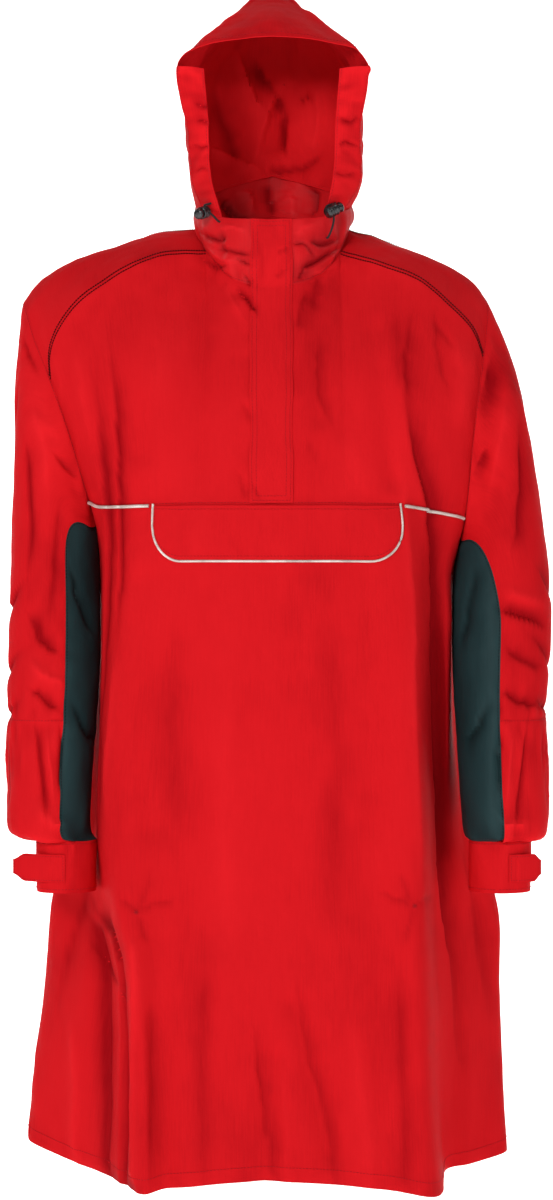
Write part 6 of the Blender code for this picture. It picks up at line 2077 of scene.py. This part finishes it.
@dataclass
class Stitching:
    """Rows of stitches beside the seams, round the flaps and along the hems."""

    coat: Coat
    overlays: Overlays
    workroom: Workroom
    surface: float = 0.0005

    def row(self, line: Array, lifts: Array, **facts: float) -> Mesh:
        """Stitches along a line, on the cloth's outer face."""
        return stitches(line + lifts * self.surface, lifts, **facts)

    def beside(self, name: str, edge: Edge, away: float) -> Mesh:
        """Stitches at a distance from an edge of a piece."""
        return self.row(*self.coat.pieces[name].beside(edge, away))

    def make(self, name: str, runs: Sequence[Mesh], finish: ThreadFinish = RED_THREAD) -> None:
        """Make one piece of several runs of stitches."""
        self.workroom.piece(name, Mesh.joined(runs), finish)

    def twin(self, word: str) -> list[Mesh]:
        """The bold dark rows on both sides of the yoke's front seam, and one behind."""
        yoke, chest = (self.coat.pieces[f"{kind}_{word}"] for kind in ("yoke", "chest"))
        near, far, back = (yoke.beside(Edge.TOP, 0.0020), chest.beside(Edge.BOTTOM, 0.0030),
                           yoke.beside(Edge.BOTTOM, 0.0018))
        return [self.row(line[skip:], lifts[skip:], radius=0.00085, gap=0.0002)
                for (line, lifts), skip in ((near, 0), (far, NECK_FRONT), (back, 0))]

    def sew(self) -> None:
        """Sew every run of stitches, one piece for each kind of seam and side."""
        for side in Side:
            word = side.word
            self.make(f"yoke_stitching_{word}", self.twin(word), DARK_THREAD)
            self.make(f"sleeve_stitching_{word}", [
                self.beside(f"{kind}_{word}", edge, away) for kind, edge, away in (
                    ("sleeve_upper", Edge.TOP, 0.0022), ("sleeve_lower", Edge.TOP, 0.0018),
                    ("cuff", Edge.TOP, 0.0030), ("cuff", Edge.BOTTOM, 0.0045),
                    ("chest", Edge.TOP, 0.0022))])
            self.make(f"under_stitching_{word}", [
                self.beside(f"sleeve_under_{word}", edge, 0.0022)
                for edge in (Edge.START, Edge.END)], DARK_THREAD)
            corner = Edge.START if side == RIGHT else Edge.END
            self.make(f"hood_stitching_{word}", [
                self.beside(f"hood_{kind}_{word}", edge, away) for kind, edge, away in (
                    ("channel", Edge.START, 0.0025), ("channel", Edge.END, 0.0022),
                    ("side", corner, 0.0025))])
        self.make("hem_stitching", [
            self.beside(*facts) for facts in (
                ("front_lower", Edge.BOTTOM, 0.016), ("back", Edge.TOP, 0.016),
                ("collar", Edge.TOP, 0.0025), ("hood_peak", Edge.TOP, 0.0100))])
        self.make("flap_stitching", [
            self.row(*border(*self.overlays.lines[name], away)) for name, away in (
                ("pocket_flap", 0.0040), ("placket", 0.0028), ("placket", 0.0080))])
        self.make("pocket_tacks", [self.tack(place) for place in TACKS])

    def tack(self, place: tuple[float, float]) -> Mesh:
        """A star of short stitches that holds the pocket bag, at picture points."""
        creases = self.coat.creases
        points, normals = creases.points["body"], creases.normals["body"]
        flat, facing, _ = creases.seen_from(View.PICTURE, points, normals)
        cost = np.linalg.norm(flat - place, axis=-1) + np.where(facing > 0, 0, 1e3)
        best = np.argmin(cost)
        normal = normals[best]
        shift = creases.lift(points[best:best + 1], normals[best:best + 1], "body")[0]
        middle = points[best] + normal * (shift + self.surface)
        across = unit(np.cross(normal, (0.0, 0.0, 1.0)))
        up = np.cross(across, normal)
        arms = []
        for turn in np.linspace(0, math.pi, 5)[:-1]:
            step = (math.cos(turn) * across + math.sin(turn) * up) * TACK_ARM
            line = np.array([middle - step, middle, middle + step])
            arms.append(stitches(line, np.repeat(normal[None], 3, axis=0), *TACK_STITCH))
        return Mesh.joined(arms)


@dataclass
class CordLock:
    """A cord lock: ribbed barrel, sprung button and the cord's two short stretches."""

    side: Side
    coat: Coat
    workroom: Workroom

    def barrel(self) -> Mesh:
        """The barrel: a cup with three raised ribs, its mouth towards the button."""
        low, high, radius = -LOCK_LENGTH / 2, LOCK_LENGTH / 2, LOCK_RADIUS
        rows = [(0.0004, low), (radius - 0.0022, low), (radius - 0.0008, low + 0.0010)]
        for centre in (low + 0.0030, low + 0.0062, low + 0.0094):
            rows += [(radius - 0.0008, centre - 0.0011), (radius, centre - 0.0006),
                     (radius, centre + 0.0006), (radius - 0.0008, centre + 0.0011)]
        rows += [(radius - 0.0005, high - 0.0026), (radius, high - 0.0016),
                 (radius, high - 0.0007), (radius - 0.0009, high), (LOCK_BORE, high),
                 (LOCK_BORE, low + LOCK_FLOOR), (0.0004, low + LOCK_FLOOR)]
        return turned(rounded(rows), *LOCK[self.side])

    def button(self) -> Mesh:
        """The button: a stem in the barrel and a domed head with a ring groove."""
        under = LOCK_LENGTH / 2 + LOCK_GAP
        stem = -LOCK_LENGTH / 2 + LOCK_FLOOR + LOCK_GAP
        head, height = BUTTON_HEAD, BUTTON_HEIGHT
        rows = [(0.0004, stem), (BUTTON_STEM, stem), (BUTTON_STEM, under), (head, under),
                (head, under + height * 0.40), (head * 0.93, under + height * 0.66),
                (head * 0.80, under + height * 0.83), (head * 0.74, under + height * 0.78),
                (head * 0.68, under + height * 0.84), (head * 0.45, under + height * 0.96),
                (0.0004, under + height)]
        return turned(rounded(rows), *LOCK[self.side])

    def cord_paths(self) -> tuple[Array, Array]:
        """The drawcord's stretches, channel to lock and lock to collar, as cubic arcs."""
        trunk = self.coat.trunk
        middle, axis = (np.array(vector, float) for vector in LOCK[self.side])
        axis = unit(axis)
        up = unit(np.array([0.0, 0.0, 1.0]) - axis * axis[2])
        down = unit(np.array([1.0, 0.0, 0.0]) - axis * axis[0]) if self.side == LEFT else -up
        channel = self.coat.pieces[f"hood_channel_{self.side.word}"]
        leave, lift = channel.worn()[CORD_PLACE], channel.normals[CORD_PLACE]
        lift = lift if lift[1] < 0 else -lift
        reach, seat = LOCK_RADIUS - 0.0004, 0.0002
        inlet = middle + up * reach - axis * INLET_SET_BACK
        above = arc(leave + lift * seat, lift * CORD_BOW * 0.6, up * CORD_BOW * 0.5, inlet)
        phi, share = CORD_FOOT[self.side]
        turn = math.radians(phi)
        out = np.array([math.sin(turn), -math.cos(turn), 0.0])
        foot = (1 - share) * trunk.neckline([phi])[0] + share * trunk.collar_top([phi])[0]
        foot = foot + out * (COLLAR_BELLY * math.sin(share * math.pi) + seat)
        return above, arc(middle + down * reach, down * CORD_BOW, out * CORD_BOW, foot)

    def build(self) -> None:
        """Make the lock's pieces."""
        word = self.side.word
        make = self.workroom.piece
        make(f"moulded_barrel_{word}", self.barrel(), PLASTIC,
             replaces=[f"lock_barrel_{word}"], sharp=40)
        make(f"moulded_button_{word}", self.button(), PLASTIC, body=f"button_{word}",
             replaces=[f"lock_button_{word}"], sharp=40)
        for place, path in zip(("upper", "lower"), self.cord_paths()):
            make(f"braided_cord_{place}_{word}", tube(path, CORD_RADIUS), CORD,
                 replaces=[f"drawcord_{place}_{word}"])


def arc(start: Array, leave: Array, enter: Array, end: Array, count: int = 25) -> Array:
    """A cubic arc from start to end, leaving and arriving along the given steps."""
    t = np.linspace(0, 1, count)[:, None]
    return ((1 - t)**3 * start + 3 * (1 - t)**2 * t * (start + leave)
            + 3 * (1 - t) * t**2 * (end + enter) + t**3 * end)


@dataclass
class Studio:
    """Pale floor and backdrop, soft lights and the camera."""

    floor_drop: float = 0.16
    white: tuple[float, float, float] = (0.93, 0.93, 0.93)

    def sweep(self, low: float) -> None:
        """Floor that turns up into a backdrop: a flat run, a quarter round and a wall."""
        turn = np.linspace(0, np.pi / 2, 13)
        radius, far, top = 1.5, 6.5, 9.0
        y = np.concatenate([[-9.0], far + radius * np.sin(turn), [far + radius]])
        z = np.concatenate([[0.0], radius * (1 - np.cos(turn)), [top]]) + low - self.floor_drop
        x = np.array([-9.0, 9.0])
        grid = np.stack(np.broadcast_arrays(x[None], y[:, None], z[:, None]), axis=-1)
        data = bpy.data.meshes.new("studio_sweep")
        index = np.arange(grid[..., 0].size).reshape(grid.shape[:2])
        data.from_pydata(grid.reshape(-1, 3).tolist(), [], quads(index).tolist())
        data.shade_smooth()
        tree = Tree("studio_white")
        tree.set(Base_Color=(*self.white, 1.0), Roughness=0.9, Emission_Strength=0.95,
                 Emission_Color=(1.0, 1.0, 1.0, 1.0))
        data.materials.append(tree.material)
        item = bpy.data.objects.new("studio_sweep", data)
        bpy.context.scene.collection.objects.link(item)
        item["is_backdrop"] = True

    def hang(self, data: bpy.types.Light, place: tuple, aim: tuple, power: float) -> None:
        """Hang a light at a place, aimed at a point."""
        data.energy = power
        item = bpy.data.objects.new(data.name, data)
        item.location = place
        item.rotation_euler = (Vector(aim) - Vector(place)).to_track_quat("-Z", "Y").to_euler()
        bpy.context.scene.collection.objects.link(item)

    def soft(self, name: str, place: tuple, aim: tuple, size: float, power: float) -> None:
        """A square soft light."""
        data = bpy.data.lights.new(name, "AREA")
        data.shape = "SQUARE"
        data.size = size
        self.hang(data, place, aim, power)

    def lamp(self, name: str, place: tuple, aim: tuple, cone: float, power: float) -> None:
        """A soft-edged lamp, with its cone in degrees."""
        data = bpy.data.lights.new(name, "SPOT")
        data.spot_size = math.radians(cone)
        data.spot_blend = 0.9
        data.shadow_soft_size = 0.08
        self.hang(data, place, aim, power)

    def build(self) -> None:
        """Set up floor, lights, surroundings and camera."""
        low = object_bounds()[0][2]
        self.sweep(low)
        aim = (0.0, 0.0, -0.45)
        self.soft("key_soft", (-1.1, -3.2, 0.5), aim, 0.7, 52)
        self.soft("fill_soft", (2.4, -2.6, -0.2), aim, 1.2, 13)
        self.soft("top_soft", (-0.3, -1.8, 2.7), (0.0, 0.0, 0.0), 1.0, 22)
        self.lamp("hood_lamp", (0.02, -1.60, 0.20), (0.0, 0.08, 0.135), 12.0, 26)
        self.soft("backdrop_left", (-2.4, 1.2, 1.4), (-1.0, 3.8, -0.3), 1.6, 60)
        self.soft("backdrop_right", (2.4, 1.2, 1.4), (1.0, 3.8, -0.3), 1.6, 60)
        world = bpy.data.worlds.new("studio_air")
        world.use_nodes = True
        air = world.node_tree.nodes["Background"]
        air.inputs["Color"].default_value = (1.0, 1.0, 1.0, 1.0)
        air.inputs["Strength"].default_value = 0.05
        scene = bpy.context.scene
        scene.world = world
        scene.view_settings.view_transform = "Standard"
        data = bpy.data.cameras.new("front_camera")
        data.lens = 75.0
        data.sensor_fit = "VERTICAL"
        data.sensor_height = 36.0
        camera = bpy.data.objects.new("front_camera", data)
        camera.location = CAMERA
        camera.rotation_euler = (math.pi / 2, 0, 0)
        scene.collection.objects.link(camera)
        scene.camera = camera


def main() -> None:
    """Dress the frame: coat, overlays, stitching, locks and studio, in that order."""
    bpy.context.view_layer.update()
    workroom = Workroom()
    coat = Coat(workroom)
    coat.cut()
    coat.sew()
    overlays = Overlays(coat, workroom)
    overlays.zip_strip()
    overlays.storm_flap()
    overlays.pocket_flap()
    for side in Side:
        overlays.chest_piping(side)
        overlays.cuff_tab(side)
    Stitching(coat, overlays, workroom).sew()
    for side in Side:
        CordLock(side, coat, workroom).build()
    Studio().build()


if __name__ == "__main__":
    main()
